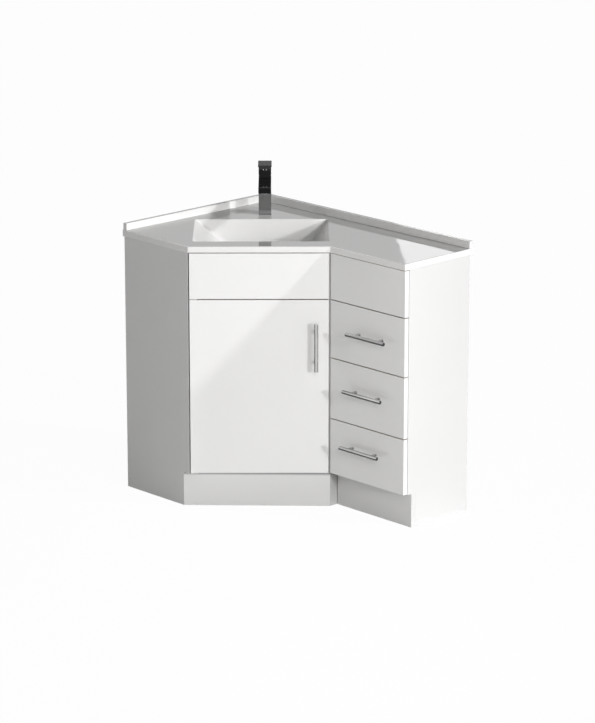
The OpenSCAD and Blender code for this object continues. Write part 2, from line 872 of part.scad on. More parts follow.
module tap_lever() {
    wide = tap_w + 2 * lever_lip;
    pin_z = hub_top - pin_down;
    color(dark_chrome) at_tap() difference() {
        union() {
            translate([-wide / 2, -tap_w / 2 - lever_reach, lever_z])
                cube([wide, tap_w + lever_reach, lever_t]);
            translate([-tongue_w / 2, pin_back - tongue_front, pin_z - tongue_drop])
                cube([tongue_w, tongue_front + tongue_back, lever_z - pin_z + tongue_drop + 1]);
        }
        translate([-tongue_w, pin_back, pin_z]) rotate([0, 90, 0])
            cylinder(d = lever_pin_d + 2 * running, h = 2 * tongue_w, $fn = 32);
    }
}

// Bar handle in the x-z plane: its foot at y = 0, its bar along z at y = -bar_standoff
module bar_handle(length) {
    difference() {
        union() {
            translate([0, -bar_standoff, -length / 2]) cylinder(d = bar_d, h = length);
            for (z = [-post_pitch / 2, post_pitch / 2])
                translate([0, 0, z]) rotate([90, 0, 0]) cylinder(d = post_d, h = bar_standoff);
        }
        for (z = [-post_pitch / 2, post_pitch / 2])
            translate([0, 1, z]) rotate([90, 0, 0]) cylinder(d = screw_d, h = screw_bite + 1);
    }
}

// Screws of a bar handle, with their heads behind the front
module bar_screws() {
    for (z = [-post_pitch / 2, post_pitch / 2])
        translate([0, board, z]) rotate([90, 0, 0]) {
            cylinder(d = screw_d, h = board + screw_bite);
            translate([0, 0, -head_t]) cylinder(d = head_d, h = head_t);
        }
}

// Holes of a bar handle through a front
module bar_holes() {
    for (z = [-post_pitch / 2, post_pitch / 2])
        translate([0, -1, z]) rotate([-90, 0, 0]) cylinder(d = screw_d + 2 * seat, h = board + 2);
}

module on_door_bar() {
    from_corner() on_front() translate([door_bar_along, face_d, door_bar_z]) children();
}

module on_drawer_bar(i) {
    from_corner() translate([bar_x(i), face_y, bar_z(i)]) rotate([0, 90, 0]) children();
}

module door() {
    color(white_gloss) difference() {
        from_corner() on_front() difference() {
            translate([door_inset, face_d, front_bottom])
                cube([door_right - door_inset, board, front_top - front_bottom]);
            translate([pivot_along, pivot_deep, 0]) {
                translate([0, 0, front_bottom - 1]) cylinder(d = bush_d + 2 * seat, h = bush_len + 1);
                translate([0, 0, front_top - bush_len]) cylinder(d = bush_d + 2 * seat, h = bush_len + 1);
            }
        }
        on_door_bar() bar_holes();
    }
}

// Bush standing on z = 0, with its rim below
module bush() {
    difference() {
        union() {
            cylinder(d = bush_d, h = bush_len - bush_end_gap);
            translate([0, 0, -bush_rim_t]) cylinder(d = bush_rim_d, h = bush_rim_t);
        }
        translate([0, 0, -1]) cylinder(d = hinge_pin_d + 2 * running, h = bush_len);
    }
}

module door_bushes() {
    color(white_pipe) from_corner() on_front() {
        translate([pivot_along, pivot_deep, front_bottom]) bush();
        translate([pivot_along, pivot_deep, front_top]) mirror([0, 0, 1]) bush();
    }
}

module door_handle() {
    color(steel) on_door_bar() bar_handle(door_bar);
}

module door_handle_screws() {
    color(zinc) on_door_bar() bar_screws();
}

module drawer_front(i) {
    color(white_gloss) difference() {
        from_corner() translate([drawers_left, face_y, drawer_z(i)])
            cube([drawers_right - drawers_left, board, drawer_top(i) - drawer_z(i)]);
        on_drawer_bar(i) bar_holes();
    }
}

// Two grooved sides and the back between them
module drawer_box(i) {
    color(white_board) from_corner() translate([box_x, back_y, box_z(i)]) {
        difference() {
            union() {
                cube([box_board, box_len, box_h]);
                translate([box_w - box_board, 0, 0]) cube([box_board, box_len, box_h]);
            }
            translate([box_board - groove, -1, groove_z])
                cube([box_w - 2 * box_board + 2 * groove, box_len - box_board + 1, bottom_t]);
        }
        translate([box_board, box_len - box_board, 0]) cube([box_w - 2 * box_board, box_board, box_h]);
    }
}

module drawer_bottom(i) {
    color(raw_board) from_corner()
        translate([box_x + box_board - groove, back_y, box_z(i) + groove_z])
            cube([box_w - 2 * box_board + 2 * groove, box_len - box_board, bottom_t]);
}

module moving_runner() {
    inner = runner_t + runner_play;
    translate([inner, 0, runner_t + slide_gap])
        cube([runner_space - inner, runner_len, runner_h - 2 * runner_t - 2 * slide_gap]);
}

module drawer_runners(i) {
    z = box_z(i) + runner_up;
    color(zinc) from_corner() {
        translate([bay_x, runner_y, z]) moving_runner();
        translate([long_inner_x, runner_y, z]) mirror([1, 0, 0]) moving_runner();
    }
}

module drawer_handle(i) {
    color(steel) on_drawer_bar(i) bar_handle(drawer_bar);
}

module drawer_screws(i) {
    color(zinc) on_drawer_bar(i) bar_screws();
}

vanity_top();
short_end_panel();
long_end_panel();
divider_panel();
closing_stile();
cupboard_base();
drawer_unit_base();
short_wall_back();
long_wall_back();
front_rail();
drawer_unit_rail();
basin_fascia();
false_drawer_front();
diagonal_kickboard();
kickboard_return();
drawer_kickboard();
fixed_runners();
hinge_plates();
hinge_screws();
door_bumpers();
waste_body();
waste_seal();
waste_backnut();
trap_nuts();
trap_body();
trap_cup();
trap_outlet_pipe();
waste_plug();
tap_body();
tap_gasket();
tap_backnut();
tap_inlet_tails();
tap_aerator();
tap_cartridge();
tap_collar();
tap_hub();
tap_lever_pin();
tap_lever();
door();
door_bushes();
door_handle();
door_handle_screws();
drawer_front(2);  // upper_drawer_front
drawer_box(2);  // upper_drawer_box
drawer_bottom(2);  // upper_drawer_bottom
drawer_runners(2);  // upper_drawer_runners
drawer_handle(2);  // upper_drawer_handle
drawer_screws(2);  // upper_drawer_screws
drawer_front(1);  // middle_drawer_front
drawer_box(1);  // middle_drawer_box
drawer_bottom(1);  // middle_drawer_bottom
drawer_runners(1);  // middle_drawer_runners
drawer_handle(1);  // middle_drawer_handle
drawer_screws(1);  // middle_drawer_screws
drawer_front(0);  // lower_drawer_front
drawer_box(0);  // lower_drawer_box
drawer_bottom(0);  // lower_drawer_bottom
drawer_runners(0);  // lower_drawer_runners
drawer_handle(0);  // lower_drawer_handle
drawer_screws(0);  // lower_drawer_screws
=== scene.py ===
# %% [markdown]
# # A corner vanity unit, dressed for the camera
#
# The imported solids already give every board, runner, screw and joint its true
# size and place. This lesson builds what the eye reads on top of them: the
# moulded top with its basin, the lacquered fronts, the bar handles and the
# square tap. Everything is in metres and in the same frame as the solids.

# %% Load the frame
import json
import math

import bpy
from mathutils import Matrix, Quaternion, Vector


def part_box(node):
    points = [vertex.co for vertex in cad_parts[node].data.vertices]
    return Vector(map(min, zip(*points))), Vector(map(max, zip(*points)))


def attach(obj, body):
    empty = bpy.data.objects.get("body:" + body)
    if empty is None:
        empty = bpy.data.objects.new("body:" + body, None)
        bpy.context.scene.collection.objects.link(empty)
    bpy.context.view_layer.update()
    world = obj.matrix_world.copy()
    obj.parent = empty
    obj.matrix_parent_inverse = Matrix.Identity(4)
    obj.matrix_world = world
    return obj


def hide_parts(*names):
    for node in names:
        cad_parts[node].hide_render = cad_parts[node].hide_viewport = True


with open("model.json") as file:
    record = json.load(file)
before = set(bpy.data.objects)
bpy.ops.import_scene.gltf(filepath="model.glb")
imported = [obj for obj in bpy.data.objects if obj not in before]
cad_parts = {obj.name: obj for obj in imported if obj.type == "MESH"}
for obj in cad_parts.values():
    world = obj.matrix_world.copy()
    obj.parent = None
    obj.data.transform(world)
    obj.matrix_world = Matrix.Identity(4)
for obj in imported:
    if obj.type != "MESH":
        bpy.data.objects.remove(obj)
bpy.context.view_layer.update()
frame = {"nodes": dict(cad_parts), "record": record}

nodes = frame["nodes"]
print("solids loaded:", len(nodes))

# %% [markdown]
# ## Two ways to measure
#
# The unit stands in a corner of a room, with a diagonal front between its two
# arms. Pieces on the diagonal are easier to shape on a bench, where x runs
# along the front and y runs back from it. One matrix carries them from the
# bench to the unit, and its inverse measures a solid in bench directions.
# Sizes are written times MM, in metres. A few that are summed or halved first
# are plain millimetres.

# %% Directions, heights and measuring helpers
MM = 0.001
LEFT_END = Vector((-155, -300, 0)) * MM
KNEE = Vector((139, 8, 0)) * MM
FRONT_TURN = math.atan2(KNEE.y - LEFT_END.y, KNEE.x - LEFT_END.x)
TO_UNIT = Matrix.Translation(LEFT_END) @ Matrix.Rotation(FRONT_TURN, 4, "Z")
TO_BENCH = TO_UNIT.inverted()
STRAIGHT = Matrix.Identity(4)

UP = Vector((0, 0, 1))
ALONG = Vector((math.cos(FRONT_TURN), math.sin(FRONT_TURN), 0))
OUTWARD = Vector((math.sin(FRONT_TURN), -math.cos(FRONT_TURN), 0))

DECK = 818 * MM
SPOUT_TOP = DECK + 115 * MM
SPOUT_THICK = 19 * MM
SPOUT_FOOT = SPOUT_TOP - SPOUT_THICK


def extent(node, turn=STRAIGHT):
    """Lowest and highest corner of a solid, seen along the turned directions."""
    back = turn.inverted()
    points = [back @ v.co for v in nodes[node].data.vertices]
    low = Vector([min(p[i] for p in points) for i in range(3)])
    high = Vector([max(p[i] for p in points) for i in range(3)])
    return low, high


def near(value, target, reach=0.1 * MM):
    return abs(value - target) < reach


def is_level(way):
    return near(way.z, 0, 0.01)


front_length = (KNEE - LEFT_END).length
print(f"diagonal: {front_length / MM:.1f} mm at {math.degrees(FRONT_TURN):.2f} degrees")

# %% [markdown]
# ## The tools of the bench
#
# Each piece starts as a primitive at its size. In edit mode, faces and edges
# are picked by where they lie and which way they point, as a hand would do
# with the mouse, and then bevelled, inset or extruded. A last helper applies
# the place, smooths what is round and keeps flat faces flat.

# %% Starting and placing pieces
def to_object_mode():
    if bpy.context.object and bpy.context.object.mode != "OBJECT":
        bpy.ops.object.mode_set(mode="OBJECT")


def alone(obj):
    """Makes one object the only selected and active one."""
    to_object_mode()
    bpy.ops.object.select_all(action="DESELECT")
    obj.select_set(True)
    bpy.context.view_layer.objects.active = obj


def start(name, add, **options):
    """Adds a primitive on its own and names it."""
    to_object_mode()
    bpy.ops.object.select_all(action="DESELECT")
    add(**options)
    obj = bpy.context.object
    obj.name = obj.data.name = name
    return obj


def apply_place(obj):
    alone(obj)
    bpy.ops.object.transform_apply(location=True, rotation=True, scale=True)


def move(obj, matrix):
    """Carries a piece by a matrix and applies its new place."""
    obj.matrix_world = matrix @ obj.matrix_world
    apply_place(obj)


def block(name, low, high):
    """A cube stretched between two corners, ready for bevels and cuts."""
    obj = start(name, bpy.ops.mesh.primitive_cube_add, size=1, location=(low + high) / 2)
    obj.scale = high - low
    apply_place(obj)
    return obj


def rod(name, radius, length, middle, turn=(0, 0, 0), sides=48):
    """A cylinder about its middle, turned and applied."""
    obj = start(name, bpy.ops.mesh.primitive_cylinder_add, vertices=sides, radius=radius,
                depth=length, location=middle, rotation=turn)
    apply_place(obj)
    return obj


SIDEWAYS = (math.radians(90), 0, 0)
print("starting shapes: block and rod")

# %% Picking, cutting and rounding
MODES = {"VERT": (True, False, False), "EDGE": (False, True, False),
         "FACE": (False, False, True)}
WELD = 0.002 * MM
FLAT = math.radians(0.5)
SHARP = math.radians(20)


def everything(middle, way):
    return True


def nothing(middle, way):
    return False


def pick(obj, kind, test):
    """Enters edit mode with only those parts selected whose middle and direction pass."""
    alone(obj)
    mesh = obj.data
    for parts in (mesh.vertices, mesh.edges, mesh.polygons):
        parts.foreach_set("select", [False] * len(parts))
    chosen = 0
    if kind == "FACE":
        for face in mesh.polygons:
            face.select = test(face.center, face.normal)
            chosen += face.select
    elif kind == "EDGE":
        for edge in mesh.edges:
            a, b = (mesh.vertices[i].co for i in edge.vertices)
            edge.select = test((a + b) / 2, (b - a).normalized())
            chosen += edge.select
    else:
        for vertex in mesh.vertices:
            vertex.select = test(vertex.co, vertex.normal)
            chosen += vertex.select
    bpy.context.tool_settings.mesh_select_mode = MODES[kind]
    bpy.ops.object.mode_set(mode="EDIT")
    return chosen


def cut(obj, place, way, test=everything, **options):
    """Cuts the picked faces along a plane."""
    pick(obj, "FACE", test)
    bpy.ops.mesh.bisect(plane_co=place, plane_no=way, **options)
    to_object_mode()


def pull(obj, test, offset):
    """Extrudes the picked faces by an offset and returns how many they were."""
    count = pick(obj, "FACE", test)
    bpy.ops.mesh.extrude_region_move(TRANSFORM_OT_translate={"value": offset})
    to_object_mode()
    return count


def round_edges(obj, width, segments=2, test=everything):
    """Bevels the picked edges and returns how many they were."""
    count = pick(obj, "EDGE", test)
    if count:
        bpy.ops.mesh.bevel(offset=width, segments=segments, profile=0.5, affect="EDGES",
                           clamp_overlap=False)
    to_object_mode()
    return count


def round_sharp(obj, width, segments=2):
    """Bevels every edge whose faces meet at a clear angle."""
    pick(obj, "EDGE", nothing)
    bpy.ops.mesh.edges_select_sharp(sharpness=SHARP)
    bpy.ops.mesh.bevel(offset=width, segments=segments, profile=0.5, affect="EDGES",
                       clamp_overlap=True)
    to_object_mode()


def step_face(obj, axis, side, steps):
    """Insets the round face on an upright axis again and again, and moves each new middle."""
    for inset, rise in steps:
        pick(obj, "FACE", lambda middle, way: way.z * side > 0.9
             and near((middle.xy - axis.xy).length, 0, 1 * MM))
        bpy.ops.mesh.inset(thickness=inset * MM)
        bpy.ops.transform.translate(value=(0, 0, rise * MM))
    to_object_mode()


print("parts to pick:", ", ".join(MODES))

# %% Joining, smoothing and finishing
def clean(obj):
    """Merges doubles, joins flat faces and turns every face outwards."""
    pick(obj, "VERT", everything)
    bpy.ops.mesh.remove_doubles(threshold=WELD)
    bpy.ops.mesh.dissolve_limited(angle_limit=FLAT)
    bpy.ops.mesh.normals_make_consistent(inside=False)
    to_object_mode()


def join(first, *others):
    alone(first)
    for other in others:
        other.select_set(True)
    bpy.ops.object.join()
    return bpy.context.object


def carve(obj, other, operation):
    """Boolean of two closed solids; the second one is used up."""
    alone(obj)
    modifier = obj.modifiers.new("carve", "BOOLEAN")
    modifier.operation = operation
    modifier.solver = "EXACT"
    modifier.object = other
    bpy.ops.object.modifier_apply(modifier="carve")
    bpy.data.objects.remove(other)


def smooth(obj, angle):
    """Smooth shading on round parts, with the large flat faces kept flat."""
    alone(obj)
    bpy.ops.object.shade_smooth_by_angle(angle=math.radians(angle))
    obj.modifiers.new("flat faces", "WEIGHTED_NORMAL").keep_sharp = True
    bpy.ops.object.modifier_apply(modifier="flat faces")


def finish(obj, body, slot, material, *stood_for, turn=STRAIGHT, angle=35):
    """Carries a piece from the bench to the unit and lets it ride on its body."""
    move(obj, turn)
    smooth(obj, angle)
    obj.data.materials.clear()
    obj.data.materials.append(material)
    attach(obj, body)
    if stood_for:
        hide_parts(*stood_for)
    size = [round(d / MM, 1) for d in obj.dimensions]
    print(f"{obj.name}: {len(obj.data.polygons)} faces, {size} mm")


print("bench ready")

# %% [markdown]
# ## Effects that several finishes share
#
# A finish looks real when its colour, gloss and surface all vary a little.
# Five effects come back in most finishes here, so each is a shader node group:
# slow drift of tone, haze on the gloss, a rippled surface, worn edges and
# brushed lines. They read Object coordinates, which are metres on this unit.

# %% Node helpers
def new_group(name, inputs, outputs):
    """A shader node group with float, colour or vector sockets."""
    tree = bpy.data.node_groups.new(name, "ShaderNodeTree")
    for way, sockets in (("INPUT", inputs), ("OUTPUT", outputs)):
        for label, kind in sockets.items():
            tree.interface.new_socket(name=label, in_out=way, socket_type="NodeSocket" + kind)
    return tree, tree.nodes.new("NodeGroupInput").outputs, tree.nodes.new("NodeGroupOutput").inputs


def add_node(tree, kind, inputs=None, **settings):
    """Adds a node, sets its properties and links or fills its inputs."""
    node = tree.nodes.new(kind)
    for key, value in settings.items():
        setattr(node, key, value)
    for key, value in (inputs or {}).items():
        if isinstance(value, bpy.types.NodeSocket):
            tree.links.new(value, node.inputs[key])
        else:
            node.inputs[key].default_value = value
    return node


def use_group(tree, group, inputs):
    return add_node(tree, "ShaderNodeGroup", inputs, node_tree=group, label=group.name)


def object_place(tree):
    return add_node(tree, "ShaderNodeTexCoord").outputs["Object"]


def stretched(tree, stretch):
    """Object coordinates multiplied along each axis; a small factor draws lines along it."""
    made = add_node(tree, "ShaderNodeVectorMath", {0: object_place(tree), 1: stretch},
                    operation="MULTIPLY")
    return made.outputs[0]


def noise(tree, place, scale, detail, roughness=0.5):
    made = add_node(tree, "ShaderNodeTexNoise", {"Vector": place, "Scale": scale,
                                                 "Detail": detail, "Roughness": roughness})
    return made.outputs["Fac"]


def spread(tree, value, low_from, high_from, low_to=0.0, high_to=1.0):
    """Maps a range of values to another, clamped."""
    made = add_node(tree, "ShaderNodeMapRange",
                    {"Value": value, "From Min": low_from, "From Max": high_from,
                     "To Min": low_to, "To Max": high_to})
    return made.outputs["Result"]


def math_node(tree, operation, first, second):
    return add_node(tree, "ShaderNodeMath", {0: first, 1: second}, operation=operation).outputs[0]


def mix(tree, factor, first, second, data_type="RGBA"):
    made = add_node(tree, "ShaderNodeMix", {"Factor": factor, "A": first, "B": second},
                    data_type=data_type)
    return made.outputs["Result"]


def bump(tree, depth, height):
    made = add_node(tree, "ShaderNodeBump", {"Strength": 1.0, "Distance": depth, "Height": height})
    return made.outputs["Normal"]


print("node helpers ready")

# %% Tone drift and haze
SLOW_SHARE = 0.7


def make_tone_drift():
    tree, given, result = new_group(
        "Tone drift",
        {"Light": "Color", "Dark": "Color", "Scale": "Float", "Speckle": "Float"},
        {"Color": "Color"})
    place = object_place(tree)
    slow = math_node(tree, "MULTIPLY", noise(tree, place, given["Scale"], 5.0), SLOW_SHARE)
    fine = math_node(tree, "MULTIPLY", noise(tree, place, given["Speckle"], 2.0), 1 - SLOW_SHARE)
    mask = spread(tree, math_node(tree, "ADD", slow, fine), 0.35, 0.65)
    tree.links.new(mix(tree, mask, given["Light"], given["Dark"]), result["Color"])
    return tree


def make_haze():
    tree, given, result = new_group(
        "Gloss haze", {"Clean": "Float", "Hazy": "Float", "Scale": "Float"},
        {"Roughness": "Float"})
    mask = spread(tree, noise(tree, object_place(tree), given["Scale"], 6.0, 0.6), 0.4, 0.7)
    tree.links.new(mix(tree, mask, given["Clean"], given["Hazy"], "FLOAT"), result["Roughness"])
    return tree


TONE_DRIFT = make_tone_drift()
HAZE = make_haze()
print("groups:", TONE_DRIFT.name, HAZE.name)

# %% Ripple, worn edges and brushed lines
WORN_FROM, WORN_TO = 0.58, 0.68
WORN_PATCHES = 60.0


def make_ripple():
    tree, given, result = new_group(
        "Surface ripple",
        {"Scale": "Float", "Fine Scale": "Float", "Fine Share": "Float", "Depth": "Float"},
        {"Normal": "Vector"})
    place = object_place(tree)
    slow = noise(tree, place, given["Scale"], 2.0)
    fine = math_node(tree, "MULTIPLY", noise(tree, place, given["Fine Scale"], 2.0),
                     given["Fine Share"])
    tree.links.new(bump(tree, given["Depth"], math_node(tree, "ADD", slow, fine)),
                   result["Normal"])
    return tree


def make_edge_wear():
    tree, given, result = new_group(
        "Edge wear", {"Color": "Color", "Worn": "Color", "Amount": "Float"},
        {"Color": "Color"})
    pointed = add_node(tree, "ShaderNodeNewGeometry").outputs["Pointiness"]
    edges = spread(tree, pointed, WORN_FROM, WORN_TO)
    broken = spread(tree, noise(tree, object_place(tree), WORN_PATCHES, 4.0), 0.4, 0.65)
    mask = math_node(tree, "MULTIPLY", math_node(tree, "MULTIPLY", edges, broken), given["Amount"])
    tree.links.new(mix(tree, mask, given["Color"], given["Worn"]), result["Color"])
    return tree


def make_brushed():
    tree, given, result = new_group(
        "Brushed lines",
        {"Stretch": "Vector", "Scale": "Float", "Clean": "Float", "Rough": "Float",
         "Depth": "Float"},
        {"Roughness": "Float", "Normal": "Vector"})
    lines = noise(tree, stretched(tree, given["Stretch"]), given["Scale"], 3.0, 0.7)
    tree.links.new(mix(tree, lines, given["Clean"], given["Rough"], "FLOAT"), result["Roughness"])
    tree.links.new(bump(tree, given["Depth"], lines), result["Normal"])
    return tree


RIPPLE = make_ripple()
EDGE_WEAR = make_edge_wear()
BRUSHED = make_brushed()
print("groups:", RIPPLE.name, EDGE_WEAR.name, BRUSHED.name)

# %% [markdown]
# ## Finishes
#
# The real unit is white on white, and only the way that each white takes the
# light tells the parts apart. The gelcoat of the top is a deep gloss with slow
# waves. The lacquer of the fronts is glossy too, with a fine orange peel. The
# end panels and kickboards are satin melamine, and the metal is either a dark
# polished plating on the tap or a brushed bar on the handles.

# %% Finish helpers
def new_material(name, settings):
    """A Principled material with constant values on the shader's own sockets."""
    material = bpy.data.materials.new(name)
    material.use_nodes = True
    shader = material.node_tree.nodes["Principled BSDF"]
    for key, value in settings.items():
        shader.inputs[key].default_value = value
    return material, material.node_tree, shader


def grey(level, warm=0.0):
    """A near-neutral colour; warm shifts it a little towards yellow."""
    return (level, level * (1 - warm * 0.5), level * (1 - warm), 1)


def painted(name, light, dark, worn, gloss, ripple, wear=0.5, drift=5.0, speckle=400.0,
            **settings):
    """Drift of tone, worn edges, haze and ripple in one recipe, for paint, plastic and plating."""
    material, tree, shader = new_material(name, settings)
    tone = use_group(tree, TONE_DRIFT, {"Light": light, "Dark": dark, "Scale": drift,
                                        "Speckle": speckle})
    edge = use_group(tree, EDGE_WEAR, {"Color": tone.outputs["Color"], "Worn": worn,
                                       "Amount": wear})
    haze = use_group(tree, HAZE, dict(zip(("Clean", "Hazy", "Scale"), gloss)))
    wave = use_group(tree, RIPPLE, dict(zip(("Scale", "Fine Scale", "Fine Share", "Depth"),
                                            ripple)))
    tree.links.new(edge.outputs["Color"], shader.inputs["Base Color"])
    tree.links.new(haze.outputs["Roughness"], shader.inputs["Roughness"])
    tree.links.new(wave.outputs["Normal"], shader.inputs["Normal"])
    return material


print("gloss is clean, hazy, scale; ripple is scale, fine scale, fine share, depth")

# %% White finishes, plastics and rubber
gelcoat = painted(
    "gloss gelcoat", grey(0.88, 0.005), grey(0.87, 0.008), grey(0.85, 0.01),
    gloss=(0.02, 0.06, 6.0), ripple=(9.0, 60.0, 0.03, 0.00016), wear=0.3, IOR=1.34)
lacquer = painted(
    "gloss lacquer", grey(0.89), grey(0.88), grey(0.82, 0.01),
    gloss=(0.14, 0.2, 5.0), ripple=(5.0, 500.0, 0.1, 0.00012), wear=0.5, IOR=1.48)
melamine, shaded_kick_melamine = (
    painted(name, grey(0.745), grey(0.735), grey(0.66, 0.02), gloss=(0.38, 0.44, 4.0),
            ripple=(9.0, 1400.0, 0.2, 0.00005), wear=0.3, speckle=900.0)
    for name in ("satin melamine", "satin melamine of the kick, with painted shade"))
thin_board = painted(
    "plain thin board", grey(0.78, 0.03), grey(0.72, 0.05), grey(0.5, 0.1),
    gloss=(0.55, 0.65, 5.0), ripple=(12.0, 1800.0, 0.3, 0.00008), wear=0.1, speckle=1500.0)
moulded_plastic = painted(
    "moulded white plastic", grey(0.83, 0.01), grey(0.79, 0.02), grey(0.7, 0.03),
    gloss=(0.22, 0.34, 20.0), ripple=(40.0, 700.0, 0.4, 0.0001), wear=0.15)
rubber = painted(
    "black rubber", grey(0.035), grey(0.02), grey(0.09),
    gloss=(0.6, 0.8, 60.0), ripple=(90.0, 1500.0, 0.8, 0.0002), wear=0.3)
print("painted finishes: 7")

# %% Plated finishes
def metal(name, light, dark, worn, gloss, ripple, **settings):
    settings = {"Metallic": 1.0, **settings}
    return painted(name, light, dark, worn, gloss, ripple, wear=0.6, drift=25.0, **settings)


POLISHED = (40.0, 900.0, 0.1, 0.00004)
# The worn colour is far lighter than the plating: its small rounds show rubbed edges and, as much,
# a painted highlight.
dark_chrome = metal("dark polished plating", grey(0.05), grey(0.043), grey(0.4),
                    (0.04, 0.1, 30.0), POLISHED,
                    **{"Metallic": 0.7, "IOR": 1.35, "Specular Tint": grey(0.3)})
bright_chrome = metal("bright polished plating", grey(0.8), grey(0.72), grey(0.8),
                      (0.05, 0.14, 30.0), POLISHED)
zinc = metal("zinc plating", grey(0.66, 0.01), grey(0.5, 0.03), grey(0.66, 0.01),
             (0.28, 0.45, 45.0), (120.0, 1200.0, 0.3, 0.0001))
print("plated finishes: 3")

# %% [markdown]
# ## Finishes with painted light and shade
#
# A tint mixes a second colour into a finish, where a mask says so. The mask is
# built from the height of the surface or from the way that it faces. These tints
# are painted light and shade. Painted shade darkens the spout and body below the
# turning head. A painted reflection lightens their top faces and pales the front
# of the column, and a painted highlight lines the edges between front and top
# faces. Painted shade also darkens the level deck, the fronts' upper edges, the
# face where the kickboards meet (less so near the floor) and the top of the
# kickboard under the door.

# %% Tint helpers
def tint_where(material, find_mask, colour):
    """Mixes another colour into a finish, by a mask built from the surface itself."""
    tree = material.node_tree
    shader = tree.nodes["Principled BSDF"]
    base = shader.inputs["Base Color"].links[0].from_socket
    tree.links.new(mix(tree, find_mask(tree), base, colour), shader.inputs["Base Color"])


def by_height(full, none):
    """A mask that is 1 at the first height and beyond it, and 0 at the second."""
    def find_mask(tree):
        height = add_node(tree, "ShaderNodeSeparateXYZ", {0: object_place(tree)}).outputs["Z"]
        return spread(tree, height, full, none, 1.0, 0.0)
    return find_mask


def by_facing(way, none, full):
    """A mask that grows from 0 to 1 as the surface turns towards a direction."""
    def find_mask(tree):
        normal = add_node(tree, "ShaderNodeNewGeometry").outputs["Normal"]
        turned = add_node(tree, "ShaderNodeVectorMath", {0: normal, 1: way},
                          operation="DOT_PRODUCT")
        return spread(tree, turned.outputs["Value"], none, full)
    return find_mask


def both(first, second):
    """The product of two masks."""
    def find_mask(tree):
        return math_node(tree, "MULTIPLY", first(tree), second(tree))
    return find_mask


print("masks: by_height, by_facing and both")

# %% Tints of painted light and shade
# The painted shade under the door fades out between these two heights.
KICK_SEEN, KICK_UNSHADED = 103.5 * MM, 96 * MM
below_head = by_height(SPOUT_TOP + 0.5 * MM, SPOUT_TOP + 1.5 * MM)
column_front = both(by_height(SPOUT_FOOT - 2 * MM, SPOUT_FOOT), by_facing(OUTWARD, -0.2, 0.9))
inner_corner = by_facing((1, 0, 0), 0.9, 0.99)
under_door = both(by_height(KICK_SEEN, KICK_UNSHADED), by_facing(OUTWARD, 0.9, 0.99))
PAINTED_LIGHT_TINTS = [
    # Painted shade: the spout and body below the turning head are darkened.
    (dark_chrome, below_head, grey(0.012)),
    # Painted reflection: their upward faces are a little lighter.
    (dark_chrome, both(below_head, by_facing(UP, 0.9, 0.99)), grey(0.065)),
    # Painted reflection: the lower front of the column is paled, as if it mirrored the pale basin
    # and deck.
    (dark_chrome, column_front, grey(0.32)),
    # Painted highlight: a light line on the rounded edges where a front face meets a top face.
    (dark_chrome, by_facing(OUTWARD + UP, 1.33, 1.4), grey(0.35)),
    # Painted shade: the level faces of the top, deck and basin floor are darkened.
    (gelcoat, by_facing(UP, 0.9, 0.99), grey(0.6, 0.01)),
    # Painted shade: the upper edges of the fronts are darkened and browned, so the gaps between
    # them read dark.
    (lacquer, by_facing(UP, 0.8, 0.95), (0.60, 0.535, 0.49, 1)),
    # Painted shade: faces turned to +x, chiefly the return's face in the toe recess, are darkened.
    (shaded_kick_melamine, inner_corner, grey(0.38)),
    # Painted shade, lighter towards the floor: low on those faces the tint is paler.
    (shaded_kick_melamine, both(inner_corner, by_height(0.0, 100 * MM)), grey(0.55)),
    # Painted shade: the top of the diagonal kickboard, under the door's overhang, is darkened.
    (shaded_kick_melamine, under_door, grey(0.28)),
]
for settings in PAINTED_LIGHT_TINTS:
    tint_where(*settings)
print("tints:", len(PAINTED_LIGHT_TINTS))

# %% Brushed bars
def brushed(name, stretch, away, none, full):
    """Brushed metal with lines and broad streaks along it, with painted shade where it faces away.
    """
    material, tree, shader = new_material(name, {"Metallic": 1.0})
    tone = use_group(tree, TONE_DRIFT, {"Light": grey(0.64, 0.01), "Dark": grey(0.56, 0.02),
                                        "Scale": 30.0, "Speckle": 900.0})
    streak = spread(tree, noise(tree, stretched(tree, stretch), 170.0, 1.0), 0.4, 0.62)
    lines = use_group(tree, BRUSHED, {"Stretch": stretch, "Scale": 1500.0, "Clean": 0.14,
                                      "Rough": 0.32, "Depth": 0.00003})
    tree.links.new(mix(tree, streak, tone.outputs["Color"], grey(0.36, 0.01)),
                   shader.inputs["Base Color"])
    tree.links.new(lines.outputs["Roughness"], shader.inputs["Roughness"])
    tree.links.new(lines.outputs["Normal"], shader.inputs["Normal"])
    # Painted shade: the side that faces away, the underside of a level bar and the left side of
    # the upright one, is darkened.
    tint_where(material, by_facing(away, none, full), grey(0.06, 0.01))
    return material


brushed_upright = brushed("brushed bar, upright", (1.0, 1.0, 0.02), -ALONG, 0.5, 0.8)
brushed_level = brushed("brushed bar, level", (0.02, 1.0, 1.0), -UP, -0.3, 0.05)
print("brushed finishes: 2")

# %% Finishes for the solids that stay
BY_SLOT = {
    "moulded_top": gelcoat, "gloss_front": lacquer, "white_board": melamine,
    "raw_board": thin_board, "zinc_hardware": zinc, "brushed_bar": brushed_upright,
    "dark_chrome": dark_chrome, "bright_chrome": bright_chrome,
    "white_pipe": moulded_plastic, "black_rubber": rubber,
}
for part in frame["record"]["subparts"]:
    solid = nodes[part["node"]]
    solid.data.materials.clear()
    solid.data.materials.append(BY_SLOT[part["material_slot"]])

# %% [markdown]
# ## The moulded top
#
# The real top is cast in one: a slab with an upstand along both walls, a cove
# at its foot, and a basin whose walls slope in to a small floor. A caster
# would start from the outline, so this piece starts as a flat sheet, cut to
# the six-cornered outline and given its thickness. The strips along the walls
# are then extruded up, and the concave edges at their foot are bevelled, which
# fills them with a cove.

# %% Slab and upstand
top_low, top_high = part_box("vanity_top")
SLAB = 20 * MM
UPSTAND = 15 * MM
END_SETBACK = 3 * MM
X_WAY, Y_WAY = (1, 0, 0), (0, 1, 0)

